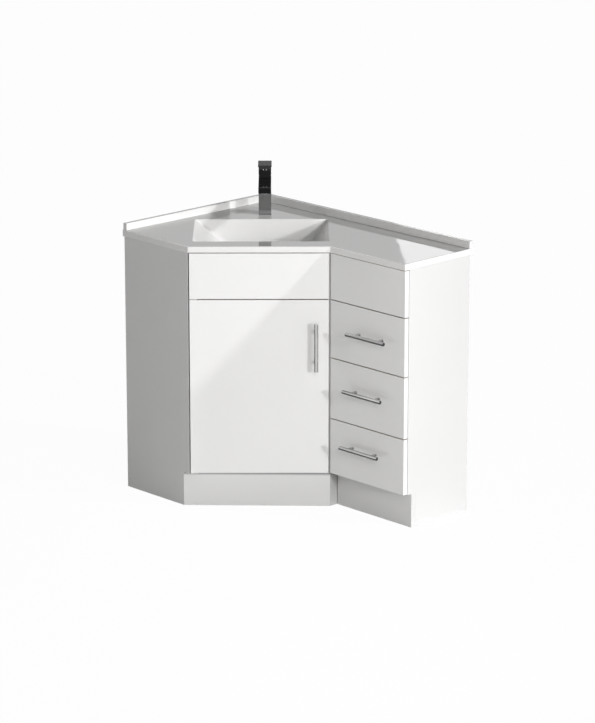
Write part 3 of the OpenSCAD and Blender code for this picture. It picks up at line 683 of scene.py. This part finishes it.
top = start("moulded_top", bpy.ops.mesh.primitive_plane_add, size=1,
            location=((top_low.x + top_high.x) / 2, (top_low.y + top_high.y) / 2, DECK))
top.scale = (top_high.x - top_low.x, top_high.y - top_low.y, 1)
apply_place(top)
cut(top, KNEE, Y_WAY)
cut(top, KNEE, OUTWARD, lambda middle, way: middle.y < KNEE.y)
pick(top, "FACE", lambda middle, way: middle.y < KNEE.y and (TO_BENCH @ middle).y < 0)
bpy.ops.mesh.delete(type="FACE")
clean(top)
alone(top)
thick = top.modifiers.new("slab", "SOLIDIFY")
thick.thickness = SLAB
thick.offset = -1
bpy.ops.object.modifier_apply(modifier="slab")

wall_x = top_low.x + UPSTAND
wall_y = top_high.y - UPSTAND
end_x = top_high.x - END_SETBACK
end_y = top_low.y + END_SETBACK
for place, way in (((wall_x, 0, 0), X_WAY), ((0, wall_y, 0), Y_WAY),
                   ((end_x, 0, 0), X_WAY), ((0, end_y, 0), Y_WAY)):
    cut(top, place, way)
strips = pull(top, lambda middle, way: way.z > 0.9 and middle.x < end_x and middle.y > end_y
              and (middle.x < wall_x or middle.y > wall_y), (0, 0, top_high.z - DECK))
clean(top)
print("strips raised:", strips, "faces now:", len(top.data.polygons))

# %% Rounded edges and the cove
COVE = 5 * MM
UPSTAND_EDGE = 2 * MM
SLAB_EDGE = 2.4 * MM


def on_front_line(point):
    """True on the slab's outline away from the walls."""
    on_diagonal = near((TO_BENCH @ point).y, 0) and point.y < KNEE.y + 0.1 * MM
    on_drawer_side = near(point.y, KNEE.y) and point.x > KNEE.x - 0.1 * MM
    return (on_diagonal or on_drawer_side or near(point.y, top_low.y)
            or near(point.x, top_high.x))


done = round_edges(top, COVE, 5, lambda middle, way: is_level(way) and near(middle.z, DECK)
                   and (near(middle.x, wall_x) or near(middle.y, wall_y)))
print("cove edges:", done)
done = round_edges(top, UPSTAND_EDGE, 3,
                   lambda middle, way: is_level(way) and near(middle.z, top_high.z))
print("upstand edges:", done)
done = round_edges(top, SLAB_EDGE, 3, lambda middle, way: is_level(way) and on_front_line(middle)
                   and (near(middle.z, DECK) or near(middle.z, DECK - SLAB)))
print("slab edges:", done)

# %% [markdown]
# ## The basin
#
# A basin with straight sloping walls and rounded corners is a loft: a stack of
# rounded frames, from the mouth down to the floor, bridged one to the next.
# Each frame is a plane whose corners are bevelled and whose face is deleted.
# The walls run in by different amounts on each side, and near the floor the
# frames follow a curve, so that wall and floor meet in a soft bend.

# %% Lofting helpers
CORNER_STEPS = 8
SAME_HEIGHT = 1e-6


def rounded_frame(low, high, height, radius):
    """A flat rounded frame of edges between two corners."""
    middle = ((low[0] + high[0]) / 2, (low[1] + high[1]) / 2, height)
    obj = start("frame", bpy.ops.mesh.primitive_plane_add, size=1, location=middle)
    obj.scale = (high[0] - low[0], high[1] - low[1], 1)
    apply_place(obj)
    pick(obj, "VERT", everything)
    bpy.ops.mesh.bevel(offset=radius, segments=CORNER_STEPS, profile=0.5, affect="VERTICES")
    bpy.ops.mesh.select_all(action="SELECT")
    bpy.ops.mesh.delete(type="ONLY_FACE")
    to_object_mode()
    return obj


def pick_frames(obj, *heights):
    """Picks the level edges that lie at the given heights."""
    pick(obj, "EDGE", lambda middle, way: is_level(way)
         and any(near(middle.z, height, SAME_HEIGHT) for height in heights))


def loft(name, frames):
    """Bridges rounded frames, top to bottom, and closes both ends."""
    heights = [values[2] for values in frames]
    obj = join(*[rounded_frame(*values) for values in frames])
    obj.name = obj.data.name = name
    for upper, lower in zip(heights, heights[1:]):
        pick_frames(obj, upper, lower)
        bpy.ops.mesh.bridge_edge_loops()
    for height in (heights[0], heights[-1]):
        pick_frames(obj, height)
        bpy.ops.mesh.edge_face_add()
    pick(obj, "FACE", everything)
    bpy.ops.mesh.normals_make_consistent(inside=False)
    to_object_mode()
    return obj


print("corner steps of a frame:", CORNER_STEPS)

# %% Inner and outer bowl
# The mouth and the run-in of its walls are in whole millimetres.
BASIN_WIDTH, BASIN_DEPTH = 410, 291
BASIN_SHIFT, FRONT_RIM = 5, 65
LEFT_RUN, RIGHT_RUN, FRONT_RUN, BACK_RUN = 146, 99, 20, 26
BASIN_LOW = Vector((front_length / MM / 2 + BASIN_SHIFT - BASIN_WIDTH / 2, FRONT_RIM, 0)) * MM
BASIN_HIGH = BASIN_LOW + Vector((BASIN_WIDTH, BASIN_DEPTH, 0)) * MM
FLOOR = DECK - 128 * MM
FALL = 8 * MM
SLOPE = 40 * MM
BOWL_WALL = 8 * MM
OVERSHOOT, OVERLAP = 6 * MM, 1 * MM
MOUTH_RADIUS, FLOOR_RADIUS = 9 * MM, 34 * MM
WALL_FOOT = FLOOR + FALL
BEND_START = 0.8
STRAIGHT_STEPS, BEND_STEPS = 4, 6


def basin_frame(height, share, extra, radius, grow=0.0):
    """One frame of the bowl: share of the run-in, plus a common extra, less a wall."""
    left, right, front, back = (share * (run * MM) + extra - grow
                                for run in (LEFT_RUN, RIGHT_RUN, FRONT_RUN, BACK_RUN))
    return ((BASIN_LOW.x + left, BASIN_LOW.y + front),
            (BASIN_HIGH.x - right, BASIN_HIGH.y - back), height, radius)


def wall_height(share):
    return DECK + (WALL_FOOT - DECK) * share


def wall_radius(share):
    return MOUTH_RADIUS + (FLOOR_RADIUS - MOUTH_RADIUS) * share


def bend(first, middle, last, share):
    """A point of the smooth curve that leaves the first line and joins the last."""
    return (1 - share) ** 2 * first + 2 * share * (1 - share) * middle + share ** 2 * last


inner = [basin_frame(DECK + OVERSHOOT, 0, 0, MOUTH_RADIUS),
         basin_frame(DECK, 0, 0, MOUTH_RADIUS)]
for step in range(1, STRAIGHT_STEPS):
    share = BEND_START * step / STRAIGHT_STEPS
    inner.append(basin_frame(wall_height(share), share, 0, wall_radius(share)))
for step in range(BEND_STEPS + 1):
    share = step / BEND_STEPS
    run = bend(BEND_START, 1, 1, share)
    height = bend(wall_height(BEND_START), WALL_FOOT, WALL_FOOT - FALL / 2, share)
    inner.append(basin_frame(height, run, bend(0, 0, SLOPE / 2, share), wall_radius(run)))
inner.append(basin_frame(FLOOR, 1, SLOPE, FLOOR_RADIUS))
outer = [basin_frame(DECK - SLAB + OVERLAP, 0, 0, MOUTH_RADIUS + BOWL_WALL, BOWL_WALL),
         basin_frame(WALL_FOOT - BOWL_WALL, 1, 0, FLOOR_RADIUS + BOWL_WALL, BOWL_WALL),
         basin_frame(FLOOR - BOWL_WALL, 1, SLOPE, FLOOR_RADIUS + BOWL_WALL, BOWL_WALL)]
hollow = loft("hollow", inner)
shell = loft("shell", outer)
print("bowl frames:", len(inner), "inner,", len(outer), "outer")

# %% Cutting the basin, its waste hole and the tap hole
TAP_WIDTH, TAP_GAP, TAP_SHIFT = 39, 59, 10.5
TAP_HALF = TAP_WIDTH / 2 * MM
WASTE_HOLE, TAP_HOLE, WASTE_DEPTH = 22.5 * MM, 17.5 * MM, 30 * MM
WASTE = Vector((BASIN_LOW.x + (BASIN_WIDTH + LEFT_RUN - RIGHT_RUN) / 2 * MM,
                BASIN_LOW.y + (BASIN_DEPTH + FRONT_RUN - BACK_RUN) / 2 * MM, 0))
TAP = Vector((BASIN_LOW.x + (BASIN_WIDTH / 2 + TAP_SHIFT) * MM,
              BASIN_HIGH.y + (TAP_GAP + TAP_WIDTH / 2) * MM, 0))
waste_hole = rod("waste hole", WASTE_HOLE, WASTE_DEPTH, WASTE + UP * (FLOOR - BOWL_WALL / 2))
tap_hole = rod("tap hole", TAP_HOLE, 2 * SLAB, TAP + UP * (DECK - SLAB / 2))
for tool, operation in ((shell, "UNION"), (hollow, "DIFFERENCE"),
                        (waste_hole, "DIFFERENCE"), (tap_hole, "DIFFERENCE")):
    move(tool, TO_UNIT)
    carve(top, tool, operation)


def on_mouth(point, reach=0.3 * MM):
    """True on the rounded line where the basin leaves the deck."""
    bench = TO_BENCH @ point
    across = max(BASIN_LOW.x - bench.x, bench.x - BASIN_HIGH.x)
    along = max(BASIN_LOW.y - bench.y, bench.y - BASIN_HIGH.y)
    inside = max(across, along)
    corner = across > -MOUTH_RADIUS and along > -MOUTH_RADIUS
    return inside < reach and (inside > -reach or (corner and inside > -MOUTH_RADIUS / 2))


MOUTH_EDGE = 2.2 * MM
clean(top)
done = round_edges(top, MOUTH_EDGE, 3, lambda middle, way: is_level(way)
                   and near(middle.z, DECK, 0.05 * MM) and on_mouth(middle))
print("mouth edges:", done)
finish(top, "cabinet", "moulded_top", gelcoat, "vanity_top", angle=40)

# %% [markdown]
# ## Lacquered fronts
#
# The door and five flat fronts are painted boards. A painted board never has a
# knife edge: the lacquer rounds it by about a millimetre, and that thin bright
# line is what draws each front in the photo. Each front is a block between the
# corners of its solid, with every edge bevelled.

# %% Fronts
FRONT_EDGE = 1.0 * MM
FRONTS = {
    "door_panel": ("door", "door_leaf", TO_UNIT),
    "basin_panel": ("basin_fascia", "cabinet", TO_UNIT),
    "fixed_panel": ("false_drawer_front", "cabinet", STRAIGHT),
    "upper_panel": ("upper_drawer_front", "upper_drawer", STRAIGHT),
    "middle_panel": ("middle_drawer_front", "middle_drawer", STRAIGHT),
    "lower_panel": ("lower_drawer_front", "lower_drawer", STRAIGHT),
}
for name, (node, body, turn) in FRONTS.items():
    panel = block(name, *extent(node, turn))
    round_edges(panel, FRONT_EDGE, 3)
    finish(panel, body, "gloss_front", lacquer, node, turn=turn)

# %% [markdown]
# ## Boards with softened edges
#
# The end panels, kickboards and drawer boxes have cuts and grooves that the
# solids already hold. Their meshes are loose triangles, so a copy is merged
# and its flat faces are joined. The sharp edges that remain are bevelled a
# little, as edging tape is rounded over, so that each edge catches the light.
# The drawer kickboard's left end is cut back, for the dark joint in the photo.

# %% Board copies
def softened(name, node, body, slot, material, width, cut_back=0.0):
    """A merged copy of a solid with its sharp edges rounded and its left end cut back."""
    obj = bpy.data.objects.new(name, nodes[node].data.copy())
    bpy.context.scene.collection.objects.link(obj)
    alone(obj)
    bpy.ops.mesh.customdata_custom_splitnormals_clear()
    clean(obj)
    round_sharp(obj, width)
    left = extent(node)[0].x
    pick(obj, "VERT", lambda place, way: place.x < left + 2 * width)
    bpy.ops.transform.translate(value=(cut_back, 0, 0))
    finish(obj, body, slot, material, node)


BOARDS = {
    "short_end_board": "short_end_panel", "long_end_board": "long_end_panel",
    "divider_board": "divider_panel", "closing_post": "closing_stile",
    "diagonal_kick": "diagonal_kickboard", "kick_return": "kickboard_return",
    "drawer_kick": "drawer_kickboard", "cupboard_floor": "cupboard_base",
    "drawer_unit_floor": "drawer_unit_base", "front_rail_board": "front_rail",
    "drawer_rail_board": "drawer_unit_rail",
}
BOARD_EDGE, BOX_EDGE, SHEET_EDGE = 0.6 * MM, 0.5 * MM, 0.4 * MM
KICK_JOINT = {"drawer_kick": 3 * MM}
# The kickboards take the melamine that carries painted shade.
KICK_FINISH = {"diagonal_kick": shaded_kick_melamine, "kick_return": shaded_kick_melamine}
LEVELS = ("upper", "middle", "lower")
for name, node in BOARDS.items():
    softened(name, node, "cabinet", "white_board", KICK_FINISH.get(name, melamine), BOARD_EDGE,
             KICK_JOINT.get(name, 0.0))
for level in LEVELS:
    softened(level + "_box_boards", level + "_drawer_box", level + "_drawer", "white_board",
             melamine, BOX_EDGE)
for arm in ("short", "long"):
    softened(arm + "_back_sheet", arm + "_wall_back", "cabinet", "raw_board", thin_board,
             SHEET_EDGE)

# %% [markdown]
# ## Bar handles
#
# Each handle is a brushed round bar on two posts. The bar's ends are
# chamfered, and the foot of every post is hollowed, so that it sits on a thin
# rim. One handle is modelled upright for each front, turned where the front
# needs it, and set in the place of its solid.

# %% One handle
BAR_RADIUS = 6 * MM
POST_RADIUS = 4 * MM
POST_PITCH = 96 * MM
STANDOFF = 26 * MM
POST_LENGTH = STANDOFF - 1 * MM
RIM, HOLLOW = 0.1 * MM, 1.2 * MM
BAR_CHAMFER, POST_EDGE = 0.9 * MM, 0.4 * MM


def bar_handle(name, length):
    """An upright bar handle whose feet stand at y = 0 and whose bar is in front."""
    bar = rod(name, BAR_RADIUS, length, (0, -STANDOFF, 0), sides=40)
    round_edges(bar, BAR_CHAMFER, 3, lambda middle, way: near(abs(middle.z), length / 2))
    for side in (-1, 1):
        post = rod("post", POST_RADIUS, POST_LENGTH, (0, -POST_LENGTH / 2, side * POST_PITCH / 2),
                   turn=SIDEWAYS, sides=32)
        pick(post, "FACE", lambda middle, way: way.y > 0.9)
        bpy.ops.mesh.inset(thickness=RIM)
        bpy.ops.mesh.extrude_region_move(TRANSFORM_OT_translate={"value": (0, -HOLLOW, 0)})
        round_edges(post, POST_EDGE, 2, lambda middle, way: near(middle.y, 0, 0.05 * MM))
        carve(bar, post, "UNION")
    return bar


print("handle sizes:", BAR_RADIUS, POST_PITCH, STANDOFF)

# %% Four handles in place
def handle_for(name, node, body, turn, level):
    """Measures the solid handle and sets a detailed one in its place."""
    low, high = extent(node, turn)
    middle = (low + high) / 2
    obj = bar_handle(name, (high - low).x if level else (high - low).z)
    if level:
        move(obj, Matrix.Rotation(math.radians(90), 4, "Y"))
    move(obj, Matrix.Translation((middle.x, high.y, middle.z)))
    finish(obj, body, "brushed_bar", brushed_level if level else brushed_upright, node, turn=turn)


handle_for("door_bar", "door_handle", "door_leaf", TO_UNIT, False)
for level in LEVELS:
    handle_for(level + "_bar", level + "_drawer_handle", level + "_drawer", STRAIGHT, True)

# %% [markdown]
# ## The square tap
#
# The tap is all flat planes with crisp, tiny rounds. Its column is a block
# whose upper front face is extruded forwards into the spout. Above it sit a
# collar, a turning hub with a slot for the lever's tongue, and the flat lever.
# The dark plating mirrors what is round it, so the bevels matter more than on
# the painted parts: they carry the fine light lines of the photo.

# %% Column and spout
SPOUT_REACH = 130 * MM
GASKET = 1.5 * MM
COLUMN_EDGE = 0.7 * MM
NOZZLE_BACK, BORE_RADIUS, BORE_LENGTH = 22 * MM, 11.6 * MM, 18 * MM
AERATOR = TAP + Vector((0, -TAP_HALF - SPOUT_REACH + NOZZLE_BACK, SPOUT_FOOT))
column = block("tap_column", TAP + Vector((-TAP_HALF, -TAP_HALF, DECK + GASKET)),
               TAP + Vector((TAP_HALF, TAP_HALF, SPOUT_TOP)))
cut(column, (0, 0, SPOUT_FOOT), UP)
pull(column, lambda middle, way: way.y < -0.9 and middle.z > SPOUT_FOOT, (0, -SPOUT_REACH, 0))
clean(column)
round_edges(column, COLUMN_EDGE, 3)
carve(column, rod("bore", BORE_RADIUS, BORE_LENGTH, AERATOR), "DIFFERENCE")
print("column and spout:", len(column.data.polygons), "faces")

# %% Threaded shank
SHANK_RADIUS, SHANK_LENGTH = 16.5 * MM, 48 * MM
THREADS, HALF_PITCH, THREAD_WAIST = 6, 2, 0.94
THREAD_LOW, SHANK_MIDDLE = DECK - 44 * MM, DECK - 21 * MM
shank = rod("shank", SHANK_RADIUS, SHANK_LENGTH, TAP + UP * SHANK_MIDDLE)
for ring in range(THREADS * 2):
    cut(shank, (0, 0, THREAD_LOW + ring * HALF_PITCH * MM), UP,
        lambda middle, way: near(way.z, 0, 0.1))
for thread in range(THREADS):
    height = THREAD_LOW + (2 * thread + 0.5) * HALF_PITCH * MM
    pick(shank, "FACE", lambda middle, way: near(way.z, 0, 0.1)
         and near(middle.z, height, 0.5 * MM))
    bpy.ops.transform.resize(value=(THREAD_WAIST, THREAD_WAIST, 1), center_override=TAP)
column = join(column, shank)
finish(column, "cabinet", "dark_chrome", dark_chrome, "tap_body", turn=TO_UNIT)

# %% Collar, hub and lever
HEAD_EDGE = 0.5 * MM
collar = block("tap_collar_ring", *extent("tap_collar", TO_UNIT))
round_edges(collar, HEAD_EDGE)
finish(collar, "cabinet", "dark_chrome", dark_chrome, "tap_collar", turn=TO_UNIT)

CHAMFER_BACK, CHAMFER_DROP = 4, 2
SLOT_HALF, SLOT_BACK, SLOT_DEPTH, SLOT_OPEN = 4.2 * MM, 13 * MM, 9.5 * MM, 5 * MM
hub_low, hub_high = extent("tap_hub", TO_UNIT)
hub = block("tap_hub_block", hub_low, hub_high)
cut(hub, (TAP.x, hub_high.y - CHAMFER_BACK * MM, hub_high.z), (0, CHAMFER_DROP, CHAMFER_BACK),
    use_fill=True, clear_outer=True)
slot = block("slot", Vector((TAP.x - SLOT_HALF, hub_high.y - SLOT_BACK, hub_high.z - SLOT_DEPTH)),
             Vector((TAP.x + SLOT_HALF, hub_high.y + SLOT_OPEN, hub_high.z + SLOT_OPEN)))
carve(hub, slot, "DIFFERENCE")
clean(hub)
round_sharp(hub, HEAD_EDGE)
finish(hub, "tap_head", "dark_chrome", dark_chrome, "tap_hub", turn=TO_UNIT)

LEVER_THICK, LEVER_EDGE = 6.5 * MM, 0.7 * MM
TONGUE_HALF, TONGUE_FRONT, TONGUE_BACK, TONGUE_DROP = 4 * MM, 11.5 * MM, 1.5 * MM, 3 * MM
lever_low, lever_high = extent("tap_lever", TO_UNIT)
lever = block("tap_lever_plate", Vector((lever_low.x, lever_low.y, lever_high.z - LEVER_THICK)),
              lever_high)
tongue = block("tongue", Vector((TAP.x - TONGUE_HALF, lever_high.y - TONGUE_FRONT, lever_low.z)),
               Vector((TAP.x + TONGUE_HALF, lever_high.y - TONGUE_BACK,
                       lever_high.z - TONGUE_DROP)))
carve(lever, tongue, "UNION")
clean(lever)
round_sharp(lever, LEVER_EDGE, 3)
finish(lever, "lever", "dark_chrome", dark_chrome, "tap_lever", turn=TO_UNIT)

# %% Hot and cold marks, and the aerator
MARK_RADIUS, MARK_THICK, MARK_OFFSET = 2 * MM, 0.6 * MM, 4.6 * MM
MARK_HEIGHT, MARK_EDGE = DECK + 142 * MM, 0.15 * MM
for side, name in ((-1, "hot_mark"), (1, "cold_mark")):
    mark = rod(name, MARK_RADIUS, MARK_THICK,
               (TAP.x + side * MARK_OFFSET, hub_low.y, MARK_HEIGHT), turn=SIDEWAYS, sides=24)
    round_edges(mark, MARK_EDGE, 2, lambda middle, way: near(way.y, 0, 0.1))
    finish(mark, "tap_head", "bright_chrome", bright_chrome, turn=TO_UNIT)

AERATOR_RADIUS = 11.5 * MM
aerator_low, aerator_high = extent("tap_aerator", TO_UNIT)
aerator = rod("tap_aerator_ring", AERATOR_RADIUS, aerator_high.z - aerator_low.z,
              (aerator_low + aerator_high) / 2)
AERATOR_STEPS = ((1.6, 0.0), (0.3, 1.6), (1.6, 0.0), (0.2, -0.5), (1.4, 0.0), (0.2, 0.5),
                 (1.6, 0.0), (0.2, -0.5))
step_face(aerator, AERATOR, -1, AERATOR_STEPS)
finish(aerator, "cabinet", "dark_chrome", dark_chrome, "tap_aerator", turn=TO_UNIT, angle=30)

# %% [markdown]
# ## Plug and trap nuts
#
# The plug is a pressed cap: a disc with a domed middle over a thin stem. The
# nuts of the trap, seen when the door is open, have grips round them, made by
# insetting every second side face and pulling it out.

# %% Plug
PLUG_RADIUS, CAP_THICK, CAP_DROP, CAP_EDGE = 28 * MM, 3 * MM, 3.5 * MM, 0.5 * MM
STEM_RADIUS, STEM_DROP, STEM_EDGE = 3 * MM, 4 * MM, 0.6 * MM
PLUG_STEPS = ((2.0, 0.0), (0.8, 0.5), (5.0, 0.6), (8.0, 0.5), (8.0, 0.3))
plug_low, plug_high = extent("waste_plug", TO_UNIT)
stem_top = plug_high.z - STEM_DROP
cap = rod("plug_cap", PLUG_RADIUS, CAP_THICK, WASTE + UP * (plug_high.z - CAP_DROP), sides=64)
step_face(cap, WASTE, 1, PLUG_STEPS)
round_edges(cap, CAP_EDGE, 2, lambda middle, way: is_level(way)
            and near((middle.xy - WASTE.xy).length, PLUG_RADIUS, 0.2 * MM))
stem = rod("stem", STEM_RADIUS, stem_top - plug_low.z,
           WASTE + UP * (stem_top + plug_low.z) / 2, sides=24)
round_edges(stem, STEM_EDGE, 2, lambda middle, way: near(middle.z, plug_low.z))
cap = join(cap, stem)
finish(cap, "plug", "bright_chrome", bright_chrome, "waste_plug", turn=TO_UNIT)

# %% Ribbed nuts
NUT_HEIGHT = 24 * MM
NUT_RIBS = 18
GRIP_INSET, GRIP_RISE, NUT_EDGE = 0.7 * MM, 0.9 * MM, 0.8 * MM


def ribbed_nut(name, radius, bore):
    """An upright nut about the origin with raised grips round it."""
    nut = rod(name, radius, NUT_HEIGHT, (0, 0, 0), sides=NUT_RIBS * 2)
    step = math.pi / NUT_RIBS
    pick(nut, "FACE", lambda middle, way: near(way.z, 0, 0.1)
         and round(math.atan2(way.y, way.x) / step - 0.5) % 2 == 0)
    bpy.ops.mesh.inset(thickness=GRIP_INSET, use_individual=True)
    bpy.ops.mesh.extrude_region_shrink_fatten(TRANSFORM_OT_shrink_fatten={"value": GRIP_RISE})
    to_object_mode()
    carve(nut, rod("bore", bore, NUT_HEIGHT * 2, (0, 0, 0)), "DIFFERENCE")
    round_edges(nut, NUT_EDGE, 2, lambda middle, way: is_level(way)
                and near(abs(middle.z), NUT_HEIGHT / 2, 0.05 * MM)
                and middle.xy.length > bore + 1 * MM)
    return nut


BOTTLE_RADIUS, OUTLET_STEP = 34, 26
TAIL = 70 * MM
tail_foot = FLOOR - TAIL
upper_nut = ribbed_nut("trap_nut_pair", radius=27.1 * MM, bore=22.05 * MM)
move(upper_nut, Matrix.Translation(TO_UNIT @ (WASTE + UP * tail_foot)))
side_nut = ribbed_nut("side nut", radius=25.1 * MM, bore=20.05 * MM)
outlet = TO_UNIT @ WASTE
outlet.z = tail_foot - NUT_HEIGHT - BOTTLE_RADIUS * MM
outlet.y += (BOTTLE_RADIUS + OUTLET_STEP) * MM
move(side_nut, Matrix.Translation(outlet) @ Matrix.Rotation(math.radians(90), 4, "X"))
nuts = join(upper_nut, side_nut)
finish(nuts, "cabinet", "white_pipe", moulded_plastic, "trap_nuts")

# %% [markdown]
# ## Camera
#
# The camera was solved from the photo: a long lens about ten metres away, to
# the right of the diagonal front and a little above the top.

# %% Camera
AZIMUTH, ELEVATION = math.radians(46.10), math.radians(15.74)
DISTANCE = 10.0144
LENS, SENSOR = 163.95, 36
AIM_HEIGHT = 0.430
AIM_SHIFT = Vector((0.0039, 0.0045, 0))
back = Vector((math.sin(AZIMUTH) * math.cos(ELEVATION), -math.cos(AZIMUTH) * math.cos(ELEVATION),
               math.sin(ELEVATION)))
facing = (-back).to_track_quat("-Z", "Y")
aim = UP * AIM_HEIGHT + facing @ AIM_SHIFT
bpy.ops.object.camera_add(location=aim + back * DISTANCE)
camera = bpy.context.object
camera.name = "camera"
camera.rotation_mode = "QUATERNION"
camera.rotation_quaternion = facing
camera.data.lens = LENS
camera.data.sensor_width = SENSOR
camera.data.clip_end = 200
bpy.context.scene.camera = camera
print("camera at", [round(v, 3) for v in camera.location])

# %% [markdown]
# ## Floor, world and lamps
#
# The photo is cut out on white, so the floor and the world are white to the
# camera and in reflections, while the floor keeps a soft shadow. A clear lamp,
# high on the right, lets the top's edge draw its shadow across the door. A low
# side lamp draws the line inside the basin, and a soft lamp and three panels
# set the level of each front. A last, small panel stands behind the corner: it
# lights almost nothing, but the top mirrors it as the bright patch at its right
# end.

# %% Floor
FLOOR_SIZE = 80
GLOW_SHARE = 0.97
WHITE = (1, 1, 1, 1)


def seen_directly(tree):
    """1 for camera, glossy and transmission rays, and 0 for the light on the object."""
    path = add_node(tree, "ShaderNodeLightPath").outputs
    seen = math_node(tree, "MAXIMUM", path["Is Camera Ray"], path["Is Glossy Ray"])
    return math_node(tree, "MAXIMUM", seen, path["Is Transmission Ray"])


def blend_into(tree, share, first, second, output):
    """Mixes two shaders and links the result to a new output node."""
    made = add_node(tree, "ShaderNodeMixShader", {0: share, 1: first.outputs[0],
                                                  2: second.outputs[0]})
    tree.links.new(made.outputs[0], tree.nodes.new(output).inputs["Surface"])


floor = start("floor", bpy.ops.mesh.primitive_plane_add, size=FLOOR_SIZE, location=(0, 0, 0))
floor_material = bpy.data.materials.new("pale floor")
floor_material.use_nodes = True
tree = floor_material.node_tree
tree.nodes.clear()
matte = add_node(tree, "ShaderNodeBsdfDiffuse", {"Color": grey(0.9)})
glow = add_node(tree, "ShaderNodeEmission", {"Color": WHITE, "Strength": 1.0})
share = math_node(tree, "MULTIPLY", seen_directly(tree), GLOW_SHARE)
blend_into(tree, share, matte, glow, "ShaderNodeOutputMaterial")
floor.data.materials.append(floor_material)
print("floor:", FLOOR_SIZE, "m wide")

# %% World
HORIZON, ZENITH, SKY_TOP = 0.12, 0.03, 0.9
FILL = (1, 0.99, 0.965, 1)
scene = bpy.context.scene
scene.view_settings.view_transform = "Standard"
world = bpy.data.worlds.new("studio")
scene.world = world
world.use_nodes = True
tree = world.node_tree
tree.nodes.clear()
sky = add_node(tree, "ShaderNodeTexCoord").outputs["Generated"]
height = add_node(tree, "ShaderNodeSeparateXYZ", {0: sky}).outputs["Z"]
level = spread(tree, height, 0.0, SKY_TOP, HORIZON, ZENITH)
fill = add_node(tree, "ShaderNodeBackground", {"Color": FILL, "Strength": level})
white = add_node(tree, "ShaderNodeBackground", {"Color": WHITE, "Strength": 1.0})
blend_into(tree, seen_directly(tree), fill, white, "ShaderNodeOutputWorld")
print("fill light from horizon to zenith:", HORIZON, ZENITH)


# %% Lamps
def lamp(name, kind, place, target, energy, size, colour, roll=0):
    """A lamp at a place that shines at a target; size is degrees for a sun, metres for a panel."""
    bpy.ops.object.light_add(type=kind, location=place)
    obj = bpy.context.object
    obj.name = name
    obj.data.energy = energy
    obj.data.color = colour
    if kind == "SUN":
        obj.data.angle = math.radians(size)
    else:
        obj.data.size = size
    aimed = (Vector(place) - Vector(target)).to_track_quat("Z", "Y")
    obj.rotation_mode = "QUATERNION"
    obj.rotation_quaternion = aimed @ Quaternion(UP, math.radians(roll))


NEUTRAL, WARM = (1, 1, 1), (1, 0.985, 0.955)
CENTRE, FRONTS_MIDDLE, DECK_END = (0, 0, 0), (0, -0.1, 0.5), (0.41, 0.19, 0.82)
LAMPS = [
    ("clear lamp", "SUN", (1, 0.52, 0.80), CENTRE, 1.6, 3.5, NEUTRAL),
    ("side lamp", "SUN", (1, -0.13, 0.23), CENTRE, 0.8, 3, NEUTRAL),
    ("soft lamp", "SUN", (1, -0.13, 0.25), CENTRE, 0.38, 18, NEUTRAL),
    ("low panel", "AREA", (1.6, -1.1, 0.95), FRONTS_MIDDLE, 6.4, 0.5, WARM),
    ("high panel", "AREA", (1.6, -1.1, 1.5), FRONTS_MIDDLE, 5.4, 0.5, WARM),
    ("left panel", "AREA", (-1.7, -1.4, 0.9), FRONTS_MIDDLE, 0.9, 0.9, WARM),
    ("far panel", "AREA", (-1.32, 1.99, 1.43), DECK_END, 0.275, 0.24, NEUTRAL, 23),
]
for settings in LAMPS:
    lamp(*settings)
print("lamps:", len(LAMPS))
